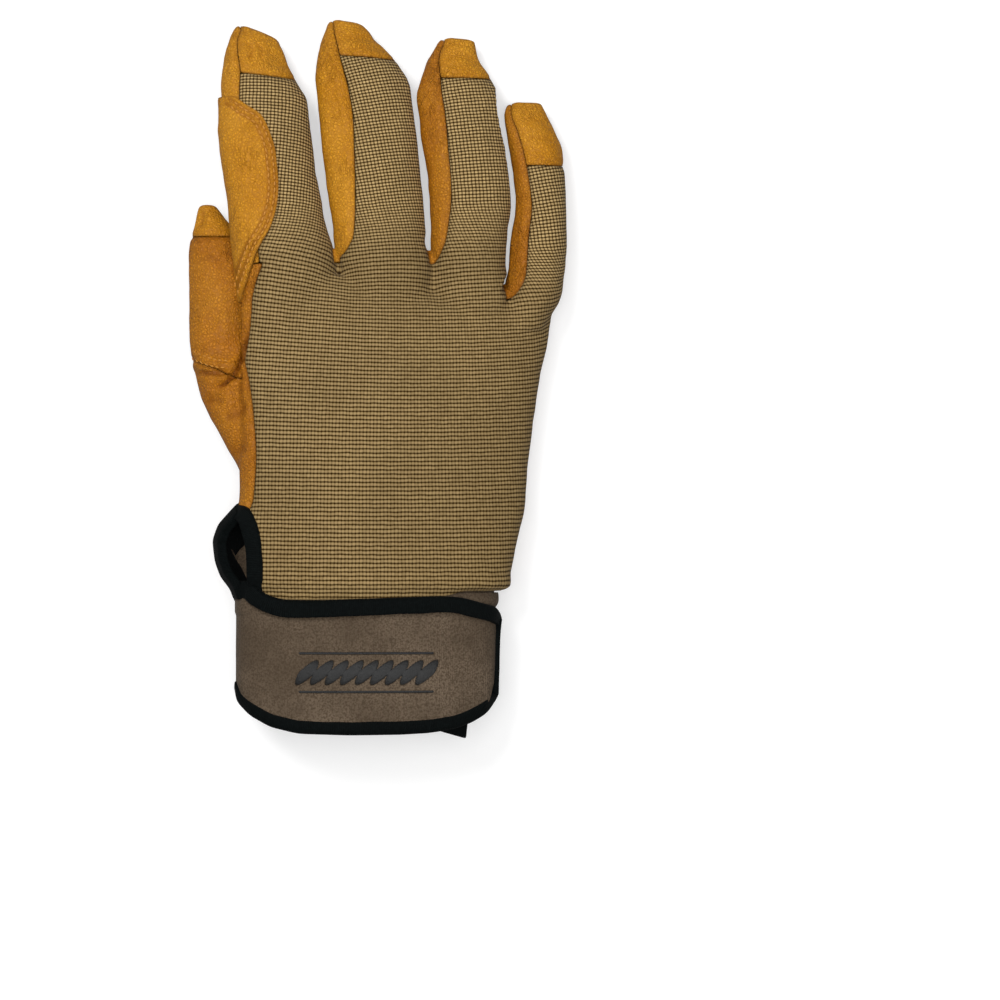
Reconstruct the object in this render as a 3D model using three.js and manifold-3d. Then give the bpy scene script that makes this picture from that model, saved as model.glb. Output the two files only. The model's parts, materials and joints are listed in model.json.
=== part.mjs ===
// Climbing glove for the right hand, lying palm down.
// Millimetres: +X to the little finger, +Y to the fingertips, +Z out of the back of the hand.
// The glove is a set of limbs: palm, cuff, thumb and four fingers. Each limb is lofted through a short
// table of sections, and each sewn piece is the part of the limbs' wall that lies inside its own zone.
import * as THREE from "three";
import { mergeVertices } from "three/addons/utils/BufferGeometryUtils.js";
import Module from "manifold-3d";

const wasm = await Module();
wasm.setup();

// Sheet thicknesses and clearances
const leatherWall = 1.6;
const cuffWall = 2.4;
const patchWall = 1.2;
const seamGap = 0.3;
const tapeExtra = 0.6;
const tapeWidth = 4.4;

// The floor that the glove lies on flattens the palm and the cuff at this height, so that the patch
// and the tab under them reach the floor
const underPatch = patchWall + seamGap;

// Sections across a limb, in shares of the limb's own sizes:
// at along the limb, shift sideways and wide by the width, deep and rise (its middle) by the depth.
// roll lifts the thumb side, in degrees, and slant leans the section's cut, as a slope.
const palm = {
  root: [-3.1, 0],
  lean: 10.7,
  length: 106,
  width: 109.4,
  depth: 29,
  power: 2.25,
  ringPoints: 26,
  floor: underPatch,
  rows: [
    { at: 0.0, shift: 0.0, wide: 0.829, deep: 1.12, rise: 0.585, roll: 4 },
    { at: 0.02, shift: 0.004, wide: 0.885, deep: 1.17, rise: 0.6, roll: 4 },
    { at: 0.06, shift: -0.012, wide: 0.915, deep: 1.15, rise: 0.595, roll: 4.5 },
    { at: 0.17, shift: -0.022, wide: 0.958, deep: 1.1, rise: 0.58, roll: 5.5 },
    { at: 0.235, shift: -0.008, wide: 0.95, deep: 1.07, rise: 0.57, roll: 6.5 },
    { at: 0.29, shift: 0.018, wide: 0.908, deep: 1.04, rise: 0.565, roll: 7.5 },
    { at: 0.42, shift: 0.012, wide: 0.916, deep: 1.0, rise: 0.56, roll: 8.5 },
    { at: 0.72, shift: 0.005, wide: 0.956, deep: 0.95, rise: 0.565, roll: 9 },
    { at: 0.85, shift: 0.007, wide: 0.98, deep: 0.86, rise: 0.57, roll: 9 },
    { at: 0.93, shift: 0.003, wide: 0.99, deep: 0.74, rise: 0.575, roll: 9, slant: -0.05 },
    { at: 1.0, shift: -0.01, wide: 0.9, deep: 0.42, rise: 0.575, roll: 9, slant: -0.15 },
  ],
};

// The cuff runs from the wrist line towards -Y
const cuff = {
  root: [-3.1, 0],
  lean: -0.6,
  length: -53,
  width: 90.7,
  depth: 32.5,
  power: 2.3,
  ringPoints: 26,
  floor: underPatch,
  rows: [
    { at: 0.0, shift: 0.0, wide: 1.0, deep: 1.0, rise: 0.522, roll: 4 },
    { at: 0.07, shift: 0.006, wide: 0.985, deep: 0.98, rise: 0.515, roll: 4 },
    { at: 0.16, shift: 0.002, wide: 0.93, deep: 0.93, rise: 0.5, roll: 4 },
    { at: 0.4, shift: 0.0, wide: 0.925, deep: 0.92, rise: 0.495, roll: 4 },
    { at: 0.75, shift: 0.0, wide: 0.92, deep: 0.92, rise: 0.495, roll: 4 },
    { at: 1.0, shift: -0.004, wide: 0.9, deep: 0.92, rise: 0.495, roll: 4 },
  ],
};

// The fingers and the thumb are rooted at shares of the palm's width and length
const onPalm = (across, along) => [palm.width * across, palm.length * along];

const index = {
  root: onPalm(-0.2724, 0.8528),
  lean: -11.4,
  length: 102,
  width: 32.8,
  depth: 20,
  power: 2.1,
  ringPoints: 16,
  floor: 0,
  rows: [
    { at: 0.0, shift: 0.03, wide: 0.96, deep: 0.92, rise: 1.1, roll: 10 },
    { at: 0.23, shift: 0.05, wide: 1.05, deep: 1.08, rise: 1.08, roll: 10 },
    { at: 0.4, shift: 0.015, wide: 0.96, deep: 1.0, rise: 0.99, roll: 10 },
    { at: 0.64, shift: -0.015, wide: 0.94, deep: 0.96, rise: 0.81, roll: 10 },
    { at: 0.78, shift: -0.005, wide: 0.91, deep: 0.9, rise: 0.65, roll: 9 },
    { at: 0.85, shift: -0.03, wide: 0.8, deep: 0.83, rise: 0.55, roll: 8, slant: -0.08 },
    { at: 0.91, shift: -0.045, wide: 0.68, deep: 0.73, rise: 0.46, roll: 7, slant: -0.2 },
    { at: 0.98, shift: -0.01, wide: 0.54, deep: 0.58, rise: 0.36, roll: 6, slant: -0.35 },
    { at: 1.0, shift: 0.0, wide: 0.44, deep: 0.44, rise: 0.32, roll: 6, slant: -0.37 },
  ],
};

const middle = {
  root: onPalm(0.0302, 0.8689),
  lean: -13.5,
  length: 104,
  width: 34.8,
  depth: 20,
  power: 2.1,
  ringPoints: 16,
  floor: 0,
  rows: [
    { at: 0.0, shift: 0.03, wide: 0.9, deep: 0.95, rise: 0.87, roll: 9 },
    { at: 0.2, shift: 0.08, wide: 0.95, deep: 1.07, rise: 0.88, roll: 9 },
    { at: 0.28, shift: 0.055, wide: 0.92, deep: 1.03, rise: 0.87, roll: 9 },
    { at: 0.41, shift: 0.06, wide: 0.95, deep: 1.0, rise: 0.83, roll: 9 },
    { at: 0.68, shift: 0.075, wide: 0.96, deep: 0.96, rise: 0.68, roll: 9 },
    { at: 0.8, shift: 0.08, wide: 0.95, deep: 0.91, rise: 0.56, roll: 8 },
    { at: 0.88, shift: 0.05, wide: 0.8, deep: 0.82, rise: 0.47, roll: 7, slant: -0.05 },
    { at: 0.947, shift: 0.02, wide: 0.58, deep: 0.66, rise: 0.39, roll: 6, slant: -0.12 },
    { at: 0.996, shift: -0.01, wide: 0.34, deep: 0.44, rise: 0.32, roll: 6, slant: -0.15 },
  ],
};

const ring = {
  root: onPalm(0.2952, 0.8689),
  lean: -4.5,
  length: 98,
  width: 30.4,
  depth: 19,
  power: 2.1,
  ringPoints: 16,
  floor: 0,
  rows: [
    { at: 0.0, shift: 0.0, wide: 0.9, deep: 0.95, rise: 0.72, roll: 8 },
    { at: 0.09, shift: 0.02, wide: 0.98, deep: 1.09, rise: 0.71, roll: 8 },
    { at: 0.21, shift: 0.01, wide: 0.84, deep: 1.05, rise: 0.72, roll: 8 },
    { at: 0.335, shift: 0.04, wide: 0.88, deep: 1.02, rise: 0.71, roll: 8 },
    { at: 0.44, shift: 0.075, wide: 0.94, deep: 1.0, rise: 0.7, roll: 8 },
    { at: 0.65, shift: 0.025, wide: 0.96, deep: 0.97, rise: 0.62, roll: 8 },
    { at: 0.79, shift: -0.01, wide: 0.98, deep: 0.92, rise: 0.53, roll: 8 },
    { at: 0.86, shift: -0.03, wide: 0.83, deep: 0.84, rise: 0.47, roll: 7 },
    { at: 0.93, shift: -0.045, wide: 0.61, deep: 0.68, rise: 0.39, roll: 6, slant: -0.05 },
    { at: 0.996, shift: 0.01, wide: 0.4, deep: 0.44, rise: 0.32, roll: 6, slant: -0.08 },
  ],
};

const little = {
  root: onPalm(0.4753, 0.8528),
  lean: -0.3,
  length: 77.3,
  width: 20,
  depth: 16.5,
  power: 2.1,
  ringPoints: 16,
  floor: 0,
  rows: [
    { at: 0.0, shift: -0.12, wide: 0.8, deep: 0.85, rise: 0.72, roll: 6 },
    { at: 0.18, shift: 0.12, wide: 0.98, deep: 1.08, rise: 0.64, roll: 6 },
    { at: 0.42, shift: 0.21, wide: 0.98, deep: 1.02, rise: 0.6, roll: 6 },
    { at: 0.56, shift: 0.245, wide: 0.87, deep: 1.0, rise: 0.57, roll: 6 },
    { at: 0.8, shift: 0.165, wide: 0.91, deep: 0.94, rise: 0.5, roll: 6 },
    { at: 0.89, shift: 0.065, wide: 0.82, deep: 0.86, rise: 0.45, roll: 6 },
    { at: 0.97, shift: -0.015, wide: 0.72, deep: 0.72, rise: 0.39, roll: 6, slant: -0.03 },
    { at: 1.0, shift: -0.03, wide: 0.58, deep: 0.5, rise: 0.36, roll: 6, slant: -0.05 },
  ],
};

const thumb = {
  root: onPalm(-0.3135, 0.2991),
  lean: -23.5,
  length: 100.4,
  width: 30.4,
  depth: 20,
  power: 2.1,
  ringPoints: 16,
  floor: 0,
  rows: [
    { at: 0.0, shift: 0.0, wide: 0.5, deep: 0.72, rise: 0.83, roll: 4 },
    { at: 0.1, shift: 0.02, wide: 0.73, deep: 0.9, rise: 0.83, roll: 4 },
    { at: 0.36, shift: -0.07, wide: 1.04, deep: 1.08, rise: 0.67, roll: 4 },
    { at: 0.5, shift: -0.1, wide: 0.99, deep: 1.05, rise: 0.57, roll: 4 },
    { at: 0.74, shift: -0.025, wide: 0.83, deep: 0.92, rise: 0.48, roll: 4 },
    { at: 0.86, shift: -0.02, wide: 0.66, deep: 0.8, rise: 0.43, roll: 4 },
    { at: 0.955, shift: -0.01, wide: 0.38, deep: 0.54, rise: 0.36, roll: 4 },
    { at: 1.0, shift: -0.03, wide: 0.18, deep: 0.34, rise: 0.33, roll: 4 },
  ],
};

const fingers = [index, middle, ring, little];

// Seams of each finger, in shares of its half width: back is the thumb-side edge of the stretch cloth,
// and front the two seams of the palm side. cap is where the leather cap of the tip starts.
index.cap = 0.865;
index.seams = [
  { at: 0.22, back: -0.5, front: 0.62 },
  { at: 0.5, back: -0.56, front: 0.68 },
  { at: 0.78, back: -0.57, front: 0.7 },
  { at: 0.87, back: -0.5, front: 0.76 },
  { at: 0.93, back: -0.62, front: 0.82 },
  { at: 1.02, back: -0.96, front: 0.9 },
];
middle.cap = 0.894;
middle.seams = [
  { at: 0.22, back: -0.97, front: 0.62 },
  { at: 0.245, back: -0.78, front: 0.64 },
  { at: 0.29, back: -0.58, front: 0.66 },
  { at: 0.42, back: -0.42, front: 0.68 },
  { at: 0.58, back: -0.33, front: 0.68 },
  { at: 0.7, back: -0.28, front: 0.7 },
  { at: 0.8, back: -0.33, front: 0.72 },
  { at: 0.89, back: -0.42, front: 0.78 },
  { at: 0.96, back: -0.5, front: 0.84 },
  { at: 1.02, back: -0.9, front: 0.9 },
];
ring.cap = 0.873;
ring.seams = [
  { at: 0.21, back: -0.97, front: 0.62 },
  { at: 0.245, back: -0.79, front: 0.64 },
  { at: 0.3, back: -0.62, front: 0.66 },
  { at: 0.42, back: -0.5, front: 0.68 },
  { at: 0.58, back: -0.42, front: 0.68 },
  { at: 0.76, back: -0.37, front: 0.7 },
  { at: 0.87, back: -0.45, front: 0.78 },
  { at: 0.93, back: -0.6, front: 0.84 },
  { at: 1.02, back: -0.95, front: 0.9 },
];
little.cap = 0.737;
little.seams = [
  { at: 0.135, back: -0.9, front: 0.62 },
  { at: 0.17, back: -0.6, front: 0.64 },
  { at: 0.25, back: -0.38, front: 0.66 },
  { at: 0.5, back: -0.38, front: 0.66 },
  { at: 0.73, back: -0.47, front: 0.7 },
  { at: 0.9, back: -0.52, front: 0.78 },
  { at: 1.02, back: -0.9, front: 0.9 },
];

// The leather loops where two fingers meet: the finger on each side, and how far up each the fork lies
const forks = [
  { name: "index_middle_gusset", near: index, far: middle, nearAt: 0.23, farAt: 0.205 },
  { name: "middle_ring_gusset", near: middle, far: ring, nearAt: 0.205, farAt: 0.215 },
  { name: "ring_little_gusset", near: ring, far: little, nearAt: 0.09, farAt: 0.13 },
];
const forkLoop = 3.2;

// Left edge of the cloth on the hand's back, from the wrist to the index finger, by the palm's half width
const clothEdge = [
  { at: -0.02, from: -0.745 },
  { at: 0.17, from: -0.69 },
  { at: 0.22, from: -0.735 },
  { at: 0.29, from: -0.88 },
  { at: 0.42, from: -0.87 },
  { at: 0.56, from: -0.89 },
  { at: 0.68, from: -0.925 },
  { at: 0.75, from: -0.957 },
  { at: 0.83, from: -0.925 },
  { at: 0.93, from: -0.875 },
  { at: 1.1, from: -0.86 },
];
const webBottom = 0.755;

// Crescent patch on the index finger: its edges on the back and on the front, by the half width
const crescent = {
  back: [
    { at: 0.09, to: -0.98 },
    { at: 0.18, to: -0.74 },
    { at: 0.27, to: -0.5 },
    { at: 0.34, to: -0.2 },
    { at: 0.41, to: 0.0 },
    { at: 0.5, to: 0.13 },
    { at: 0.6, to: 0.16 },
    { at: 0.67, to: 0.07 },
    { at: 0.72, to: -0.08 },
    { at: 0.755, to: -0.4 },
    { at: 0.785, to: -0.62 },
  ],
  front: [
    { at: 0.09, to: -0.4 },
    { at: 0.3, to: -0.3 },
    { at: 0.44, to: -0.36 },
    { at: 0.57, to: -0.6 },
    { at: 0.69, to: -0.98 },
  ],
};

// Palm patch: its edges across the palm, and its tongues on three fingers
const patchEdge = [
  { at: 0.315, from: -0.33, to: 0.93 },
  { at: 0.58, from: -0.31, to: 0.95 },
  { at: 0.92, from: -0.46, to: 0.95 },
];
const patchTongues = [
  { finger: index, from: -0.02, to: 0.36, half: 0.56 },
  { finger: middle, from: -0.02, to: 0.37, half: 0.56 },
  { finger: ring, from: -0.02, to: 0.4, half: 0.56 },
];

// Seam between the palm and the thumb's leather, and the oval of stretch cloth on the thumb
const thumbSeam = { from: -0.34, low: -0.02, high: 0.74 };
const thumbCap = 0.91;
const thumbSide = 0.48;
const oval = [
  { at: -0.06, from: -0.1, to: 0.14 },
  { at: 0.04, from: -0.45, to: 0.36 },
  { at: 0.14, from: -0.62, to: 0.5 },
  { at: 0.3, from: -0.8, to: 0.44 },
  { at: 0.48, from: -0.86, to: 0.26 },
  { at: 0.64, from: -0.86, to: 0.1 },
  { at: 0.74, from: -0.8, to: -0.04 },
  { at: 0.8, from: -0.6, to: -0.3 },
];

// Slit at the wrist, by the palm's half width: the opening, with the tape round it
const slit = [
  { at: 0.0, from: -0.83, to: -0.77 },
  { at: 0.03, from: -0.9, to: -0.77 },
  { at: 0.08, from: -0.94, to: -0.77 },
  { at: 0.13, from: -0.945, to: -0.77 },
  { at: 0.18, from: -0.93, to: -0.77 },
  { at: 0.22, from: -0.93, to: -0.8 },
  { at: 0.25, from: -0.93, to: -0.86 },
];

// Cuff, strap and tab, in millimetres from the wrist line towards the hem
const bandLength = 36.2;
const hemTape = 4.2;
const strapLift = 0.8;
const strapTop = 3;
const strapLength = 48.6;
const strapCorner = 12;
const strapEnd = 0.985;
const tab = { x: 0.5, width: 27.5, length: 35, holeX: 0, holeDown: 17, holeWide: 15.8, holeTall: 17.4 };
const cuffOverlap = { x: -35, width: 3 };
const hemCorner = { left: 21, right: 32, top: 0.3, leftDrop: 6.6, rightDrop: 9.6, thick: 1.6 };

// Value of one column of a table at a share along it
function lookUp(rows, at, column) {
  const last = rows.length - 1;
  if (at <= rows[0].at) return rows[0][column] ?? 0;
  if (at >= rows[last].at) return rows[last][column] ?? 0;
  const after = rows.findIndex((row) => row.at >= at);
  const before = rows[after - 1];
  const part = (at - before.at) / (rows[after].at - before.at);
  return THREE.MathUtils.lerp(before[column] ?? 0, rows[after][column] ?? 0, part);
}

// Middle, half sizes and roll of a limb's section
function section(limb, at) {
  const value = (column) => lookUp(limb.rows, at, column);
  return {
    x: limb.root[0] + limb.lean * at + value("shift") * limb.width,
    y: limb.root[1] + limb.length * at,
    z: value("rise") * limb.depth,
    halfWide: (value("wide") * limb.width) / 2,
    halfDeep: (value("deep") * limb.depth) / 2,
    roll: THREE.MathUtils.degToRad(value("roll")),
    slant: value("slant"),
  };
}

// A closed manifold solid through rings of points that all have the same count
function loft(rings) {
  const count = rings[0].length;
  const points = rings.flat();
  const faces = [];
  for (let row = 0; row < rings.length - 1; row++) {
    for (let k = 0; k < count; k++) {
      const a = row * count + k;
      const b = row * count + ((k + 1) % count);
      faces.push([a, b, b + count], [a, b + count, a + count]);
    }
  }
  const capEnd = (start, turned) => {
    const middlePoint = new THREE.Vector3();
    for (let k = 0; k < count; k++) middlePoint.addScaledVector(points[start + k], 1 / count);
    points.push(middlePoint);
    const hub = points.length - 1;
    for (let k = 0; k < count; k++) {
      const a = start + k;
      const b = start + ((k + 1) % count);
      faces.push(turned ? [hub, a, b] : [hub, b, a]);
    }
  };
  capEnd(0, false);
  capEnd((rings.length - 1) * count, true);
  const make = (turned) =>
    new wasm.Manifold(
      new wasm.Mesh({
        numProp: 3,
        vertProperties: new Float32Array(points.flatMap((p) => [p.x, p.y, p.z])),
        triVerts: new Uint32Array(faces.flatMap(([a, b, c]) => (turned ? [a, c, b] : [a, b, c]))),
      }),
    );
  const solid = make(false);
  return solid.volume() < 0 ? make(true) : solid;
}

// The limb as a solid, grown outwards or, with a negative value, inwards
function limbSolid(limb, grow, reach = 0, ringPoints = limb.ringPoints) {
  const rings = limb.rows.map((row, place) => {
    const cut = section(limb, row.at);
    const a = cut.halfWide + grow;
    const b = cut.halfDeep + grow;
    const isTip = place === limb.rows.length - 1;
    const endShift = isTip ? grow * Math.sign(limb.length) : 0;
    const backShift = place === 0 ? -reach * Math.sign(limb.length) : 0;
    return Array.from({ length: ringPoints }, (_, k) => {
      const angle = ((k + 0.5) / ringPoints) * Math.PI * 2;
      const bend = (value) => Math.sign(value) * Math.abs(value) ** (2 / limb.power);
      const across = a * bend(Math.cos(angle));
      const up = b * bend(Math.sin(angle));
      const x = across * Math.cos(cut.roll) + up * Math.sin(cut.roll);
      const z = up * Math.cos(cut.roll) - across * Math.sin(cut.roll);
      return new THREE.Vector3(cut.x + x, cut.y + cut.slant * x + endShift + backShift, cut.z + z);
    });
  });
  return loft(rings).intersect(box(-far, far, -far, far, limb.floor - Math.max(grow, 0), far));
}

// A box between two corners, as a solid
const far = 400;
function box(x0, x1, y0, y1, z0, z1) {
  return loft([
    [
      new THREE.Vector3(x0, y0, z0),
      new THREE.Vector3(x1, y0, z0),
      new THREE.Vector3(x1, y0, z1),
      new THREE.Vector3(x0, y0, z1),
    ],
    [
      new THREE.Vector3(x0, y1, z0),
      new THREE.Vector3(x1, y1, z0),
      new THREE.Vector3(x1, y1, z1),
      new THREE.Vector3(x0, y1, z1),
    ],
  ]);
}

// A zone that follows a limb, between two shares of its half width, above or below its middle plane,
// which it passes a little so that an upper and a lower zone join
const zoneLap = 0.6;
function strip(limb, rows, side, spread, fromColumn = "from", toColumn = "to") {
  const last = rows.length - 1;
  const direction = Math.sign(limb.length);
  const rings = rows.map((row, place) => {
    const cut = section(limb, row.at);
    const end = place === 0 ? -spread : place === last ? spread : 0;
    const left = (row[fromColumn] ?? -1.3) * cut.halfWide - spread;
    const right = (row[toColumn] ?? 1.3) * cut.halfWide + spread;
    const corner = (across, high) => {
      const middleZ = cut.z - across * Math.sin(cut.roll);
      const y = cut.y + cut.slant * across + end * direction;
      const z = high ? middleZ + 2 * palm.depth * side : middleZ - (spread + zoneLap) * side;
      return new THREE.Vector3(cut.x + across, y, z);
    };
    return [corner(left, false), corner(right, false), corner(right, true), corner(left, true)];
  });
  return loft(rings);
}

const union = (solids) => solids.reduce((sum, solid) => sum.add(solid));
const above = 1;
const below = -1;
const limbs = [palm, index, middle, ring, little, thumb];

// The whole hand: outer form, the space for the hand, and the leather wall between them
const outer = union(limbs.map((limb) => limbSolid(limb, 0)));
const coarse = (limb) => 2 * Math.round(limb.ringPoints * 0.375);
const inner = union(
  limbs.map((limb) => limbSolid(limb, -leatherWall, limb === palm ? 2 : 0, coarse(limb))),
);
const floorInside = box(-far, far, -far, far, leatherWall, far);
const fingersFrom = section(palm, 0.943).y;
const palmFloorInside = box(-far, far, -far, fingersFrom, underPatch + leatherWall, far);
const upperHand = box(-far, far, fingersFrom, far, 0, far);
const handSpace = inner.intersect(floorInside).intersect(palmFloorInside.add(upperHand));
const wall = outer.subtract(handSpace);

// Zones of the sewn pieces, each as a function of how far it is spread
const within = (limb, zone, spread) => zone.intersect(limbSolid(limb, 0.05 + spread));

function fingerBack(finger, spread) {
  const rows = finger.seams.map(({ at, back }) => ({ at, from: back }));
  return strip(finger, rows, above, spread);
}

function capZone(finger, spread) {
  const rows = finger.seams.filter(({ at }) => at > finger.cap + 0.01);
  const start = { at: finger.cap, back: lookUp(finger.seams, finger.cap, "back") };
  const table = [start, ...rows].map(({ at, back }) => ({ at, from: back }));
  table.push({ at: 1.15, from: -1.2 });
  return within(finger, strip(finger, table, above, spread), spread);
}

function forkZone({ near, far: farFinger, nearAt, farAt }, spread) {
  const upFrom = (finger, start) => [
    { ...finger.seams[0], at: start },
    ...finger.seams.filter(({ at }) => at > start + 0.01),
    { at: 1.15, back: -1.2, front: 0.9 },
  ];
  const pieces = [];
  const farRows = upFrom(farFinger, farAt);
  const backEdge = farRows.map(({ at, back }) => ({ at, to: back }));
  const thumbSideFront = farRows.map(({ at, front }) => ({ at, to: -front }));
  const nearFront = upFrom(near, nearAt).map(({ at, front }) => ({ at, from: front }));
  pieces.push(within(farFinger, strip(farFinger, backEdge, above, spread), spread));
  pieces.push(within(farFinger, strip(farFinger, thumbSideFront, below, spread), spread));
  pieces.push(within(near, strip(near, nearFront, below, spread), spread));
  const a = section(near, nearAt);
  const b = section(farFinger, farAt);
  const left = a.x + 0.62 * a.halfWide - spread;
  const right = b.x - 0.62 * b.halfWide + spread;
  const crotch = Math.max(a.y, b.y);
  const middleZ = (a.z + b.z) / 2;
  pieces.push(box(left, right, crotch - forkLoop - spread, crotch + 5, -5, middleZ - 1 + spread));
  return union(pieces);
}

function indexSideZone(spread) {
  const rows = index.seams.concat({ at: 1.15, back: -1.2, front: 0.9 });
  const back = rows.map(({ at, back: to }) => ({ at, to }));
  const front = rows.map(({ at, front: edge }) => ({ at, to: -edge }));
  return union([
    within(index, strip(index, back, above, spread), spread),
    within(index, strip(index, front, below, spread), spread),
  ]);
}

function clothZone(spread) {
  return strip(palm, clothEdge, above, spread).subtract(
    box(-far, far, -far, -0.01 - spread, -far, far),
  );
}

function webZone(spread) {
  const top = section(index, index.seams[0].at).y;
  const bottom = section(palm, webBottom).y;
  const rows = [
    { at: webBottom, from: -1.4, to: -0.5 },
    { at: 1.15, from: -1.4, to: -0.5 },
  ];
  const band = box(-far, far, bottom - spread, top + spread, -far, far);
  return strip(palm, rows, above, spread).intersect(band);
}

function thumbZones(spread) {
  const full = { from: -1.4, to: 1.4 };
  const sideRows = [thumbSide, thumbCap].map((at) => ({ at, ...full }));
  const capRows = [thumbCap, 1.2].map((at) => ({ at, ...full }));
  return {
    side: within(thumb, strip(thumb, sideRows, above, spread), spread),
    cap: within(thumb, strip(thumb, capRows, above, spread), spread),
    oval: within(thumb, strip(thumb, oval.slice(1), below, spread), spread),
  };
}

function heelZone(spread) {
  const seamRows = [thumbSeam.low, thumbSeam.high].map((at) => ({ at, from: -1.5, to: thumbSeam.from }));
  const backRows = [thumbSeam.low, webBottom].map((at) => ({ at, from: -1.5, to: -0.5 }));
  const thumbRows = [-0.02, 1.15].map((at) => ({ at, from: -1.4, to: 1.4 }));
  return union([
    strip(palm, seamRows, below, spread),
    strip(palm, backRows, above, spread),
    within(thumb, strip(thumb, thumbRows, below, spread), spread),
    within(thumb, strip(thumb, thumbRows, above, spread), spread),
  ]);
}

function slitZone(spread) {
  return strip(palm, slit, above, spread);
}

// Tape zone round the slit: the opening spread by the tape's width, less the opening
const slitHole = slitZone(0);
const slitTapeZone = (spread) => slitZone(tapeWidth + spread);

// Keeps the largest of the bodies that a cut leaves, without slivers thinner than a hair
const hair = 0.13;
function largest(solid) {
  const biggest = (bodies) => bodies.reduce((best, body) => (body.volume() > best.volume() ? body : best));
  const main = biggest(solid.decompose()).simplify(hair);
  return biggest(main.decompose()).simplify(hair);
}

const pieces = new Map();
const leatherTan = { color: 0xc08a30, roughness: 0.62 };
const leatherDeep = { color: 0xb37c26, roughness: 0.62 };
const stretchCloth = { color: 0x9a855f, roughness: 0.9 };
const foamCloth = { color: 0x6e6056, roughness: 0.95 };
const edgeTape = { color: 0x14181a, roughness: 0.8 };

function keep(name, solid, look) {
  pieces.set(name, { solid: largest(solid), look });
}

// Slit tape first, because every other piece stays clear of it
const wristTop = box(-far, far, seamGap, far, -far, far);
const tapeWall = limbSolid(palm, tapeExtra).subtract(limbSolid(palm, -leatherWall - tapeExtra, 2));
const slitTape = tapeWall.intersect(slitTapeZone(0)).subtract(slitHole).intersect(wristTop);
keep("slit_binding", slitTape, edgeTape);
const slitRoom = slitTapeZone(seamGap).add(slitHole);
const handWall = wall.intersect(wristTop).subtract(slitRoom);

const taken = [];
function take(name, zone, look) {
  let solid = handWall.intersect(zone(0));
  for (const earlier of taken) solid = solid.subtract(earlier);
  keep(name, solid, look);
  taken.push(zone(seamGap));
}

for (const fork of forks) take(fork.name, (spread) => forkZone(fork, spread), leatherTan);
take("index_side_panel", indexSideZone, leatherTan);
const capNames = ["index_tip_cap", "middle_tip_cap", "ring_tip_cap", "little_tip_cap"];
fingers.forEach((finger, k) => take(capNames[k], (spread) => capZone(finger, spread), leatherTan));
take("thumb_tip_cap", (spread) => thumbZones(spread).cap, leatherTan);
take("thumb_side_panel", (spread) => thumbZones(spread).side, leatherTan);
take("thumb_back_panel", (spread) => thumbZones(spread).oval, stretchCloth);
const backZone = (spread) =>
  union([clothZone(spread), ...fingers.map((f) => within(f, fingerBack(f, spread), spread))]);
take("back_panel", backZone, stretchCloth);
take("web_panel", webZone, leatherTan);
take("thumb_panel", heelZone, leatherDeep);
take("palm_panel", () => box(-far, far, -far, far, -far, far), leatherDeep);

// Patches lie on the outside of the wall, a gap away
function layer(zone, thick, lift, parts) {
  const high = union(parts.map((limb) => limbSolid(limb, lift + thick)));
  const low = union(parts.map((limb) => limbSolid(limb, lift)));
  const floor = box(-far, far, -far, far, 0, far);
  return high.subtract(low).intersect(zone).intersect(floor);
}

const crescentZone = union([
  strip(index, crescent.back, above, 0),
  strip(index, crescent.front, below, 0),
]);
const handClear = union(limbs.map((limb) => limbSolid(limb, seamGap)));
keep("index_side_patch", layer(crescentZone, patchWall, seamGap, [index]).subtract(handClear), leatherTan);

const tongues = patchTongues.map(({ finger, from, to, half }) => {
  const rows = [from, to].map((at) => ({ at, from: -half, to: half }));
  return strip(finger, rows, below, 0);
});
const patchZone = union([strip(palm, patchEdge, below, 0), ...tongues]);
const patchLimbs = [palm, index, middle, ring];
keep("palm_patch", layer(patchZone, patchWall, seamGap, patchLimbs).subtract(handClear), leatherDeep);

// Cuff band, open under the strap, with the hole of the tab through it
const across = (shape) => shape.intersect(box(-far, far, -far, -seamGap / 2, -far, far));
const hole = (grow) => {
  const sides = 20;
  const y = -tab.holeDown;
  const ringAt = (z) =>
    Array.from({ length: sides }, (_, k) => {
      const angle = (k / sides) * Math.PI * 2;
      return new THREE.Vector3(
        tab.x + tab.holeX + (tab.holeWide / 2 + grow) * Math.cos(angle),
        y + (tab.holeTall / 2 + grow) * Math.sin(angle),
        z,
      );
    });
  return loft([ringAt(-5), ringAt(cuff.depth / 2)]);
};
const opening = box(
  cuffOverlap.x - cuffOverlap.width / 2,
  cuffOverlap.x + cuffOverlap.width / 2,
  -far,
  far,
  cuff.depth / 2,
  far,
);
const cuffTube = limbSolid(cuff, 0).subtract(
  limbSolid(cuff, -cuffWall, 5).intersect(box(-far, far, -far, far, underPatch + cuffWall, far)),
);
const bandSpan = box(-far, far, -bandLength, 0, -far, far);
keep("cuff_band", across(cuffTube).intersect(bandSpan).subtract(hole(0)).subtract(opening), foamCloth);

const hemOuter = limbSolid(cuff, tapeExtra / 2);
const hemInner = limbSolid(cuff, -cuffWall - tapeExtra / 2, 5).intersect(
  box(-far, far, -far, far, underPatch + cuffWall + tapeExtra / 2, far),
);
const hemSpan = box(-far, far, -bandLength - hemTape, -bandLength - seamGap, -far, far);
keep("cuff_binding", hemOuter.subtract(hemInner).intersect(hemSpan).subtract(opening), edgeTape);

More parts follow.
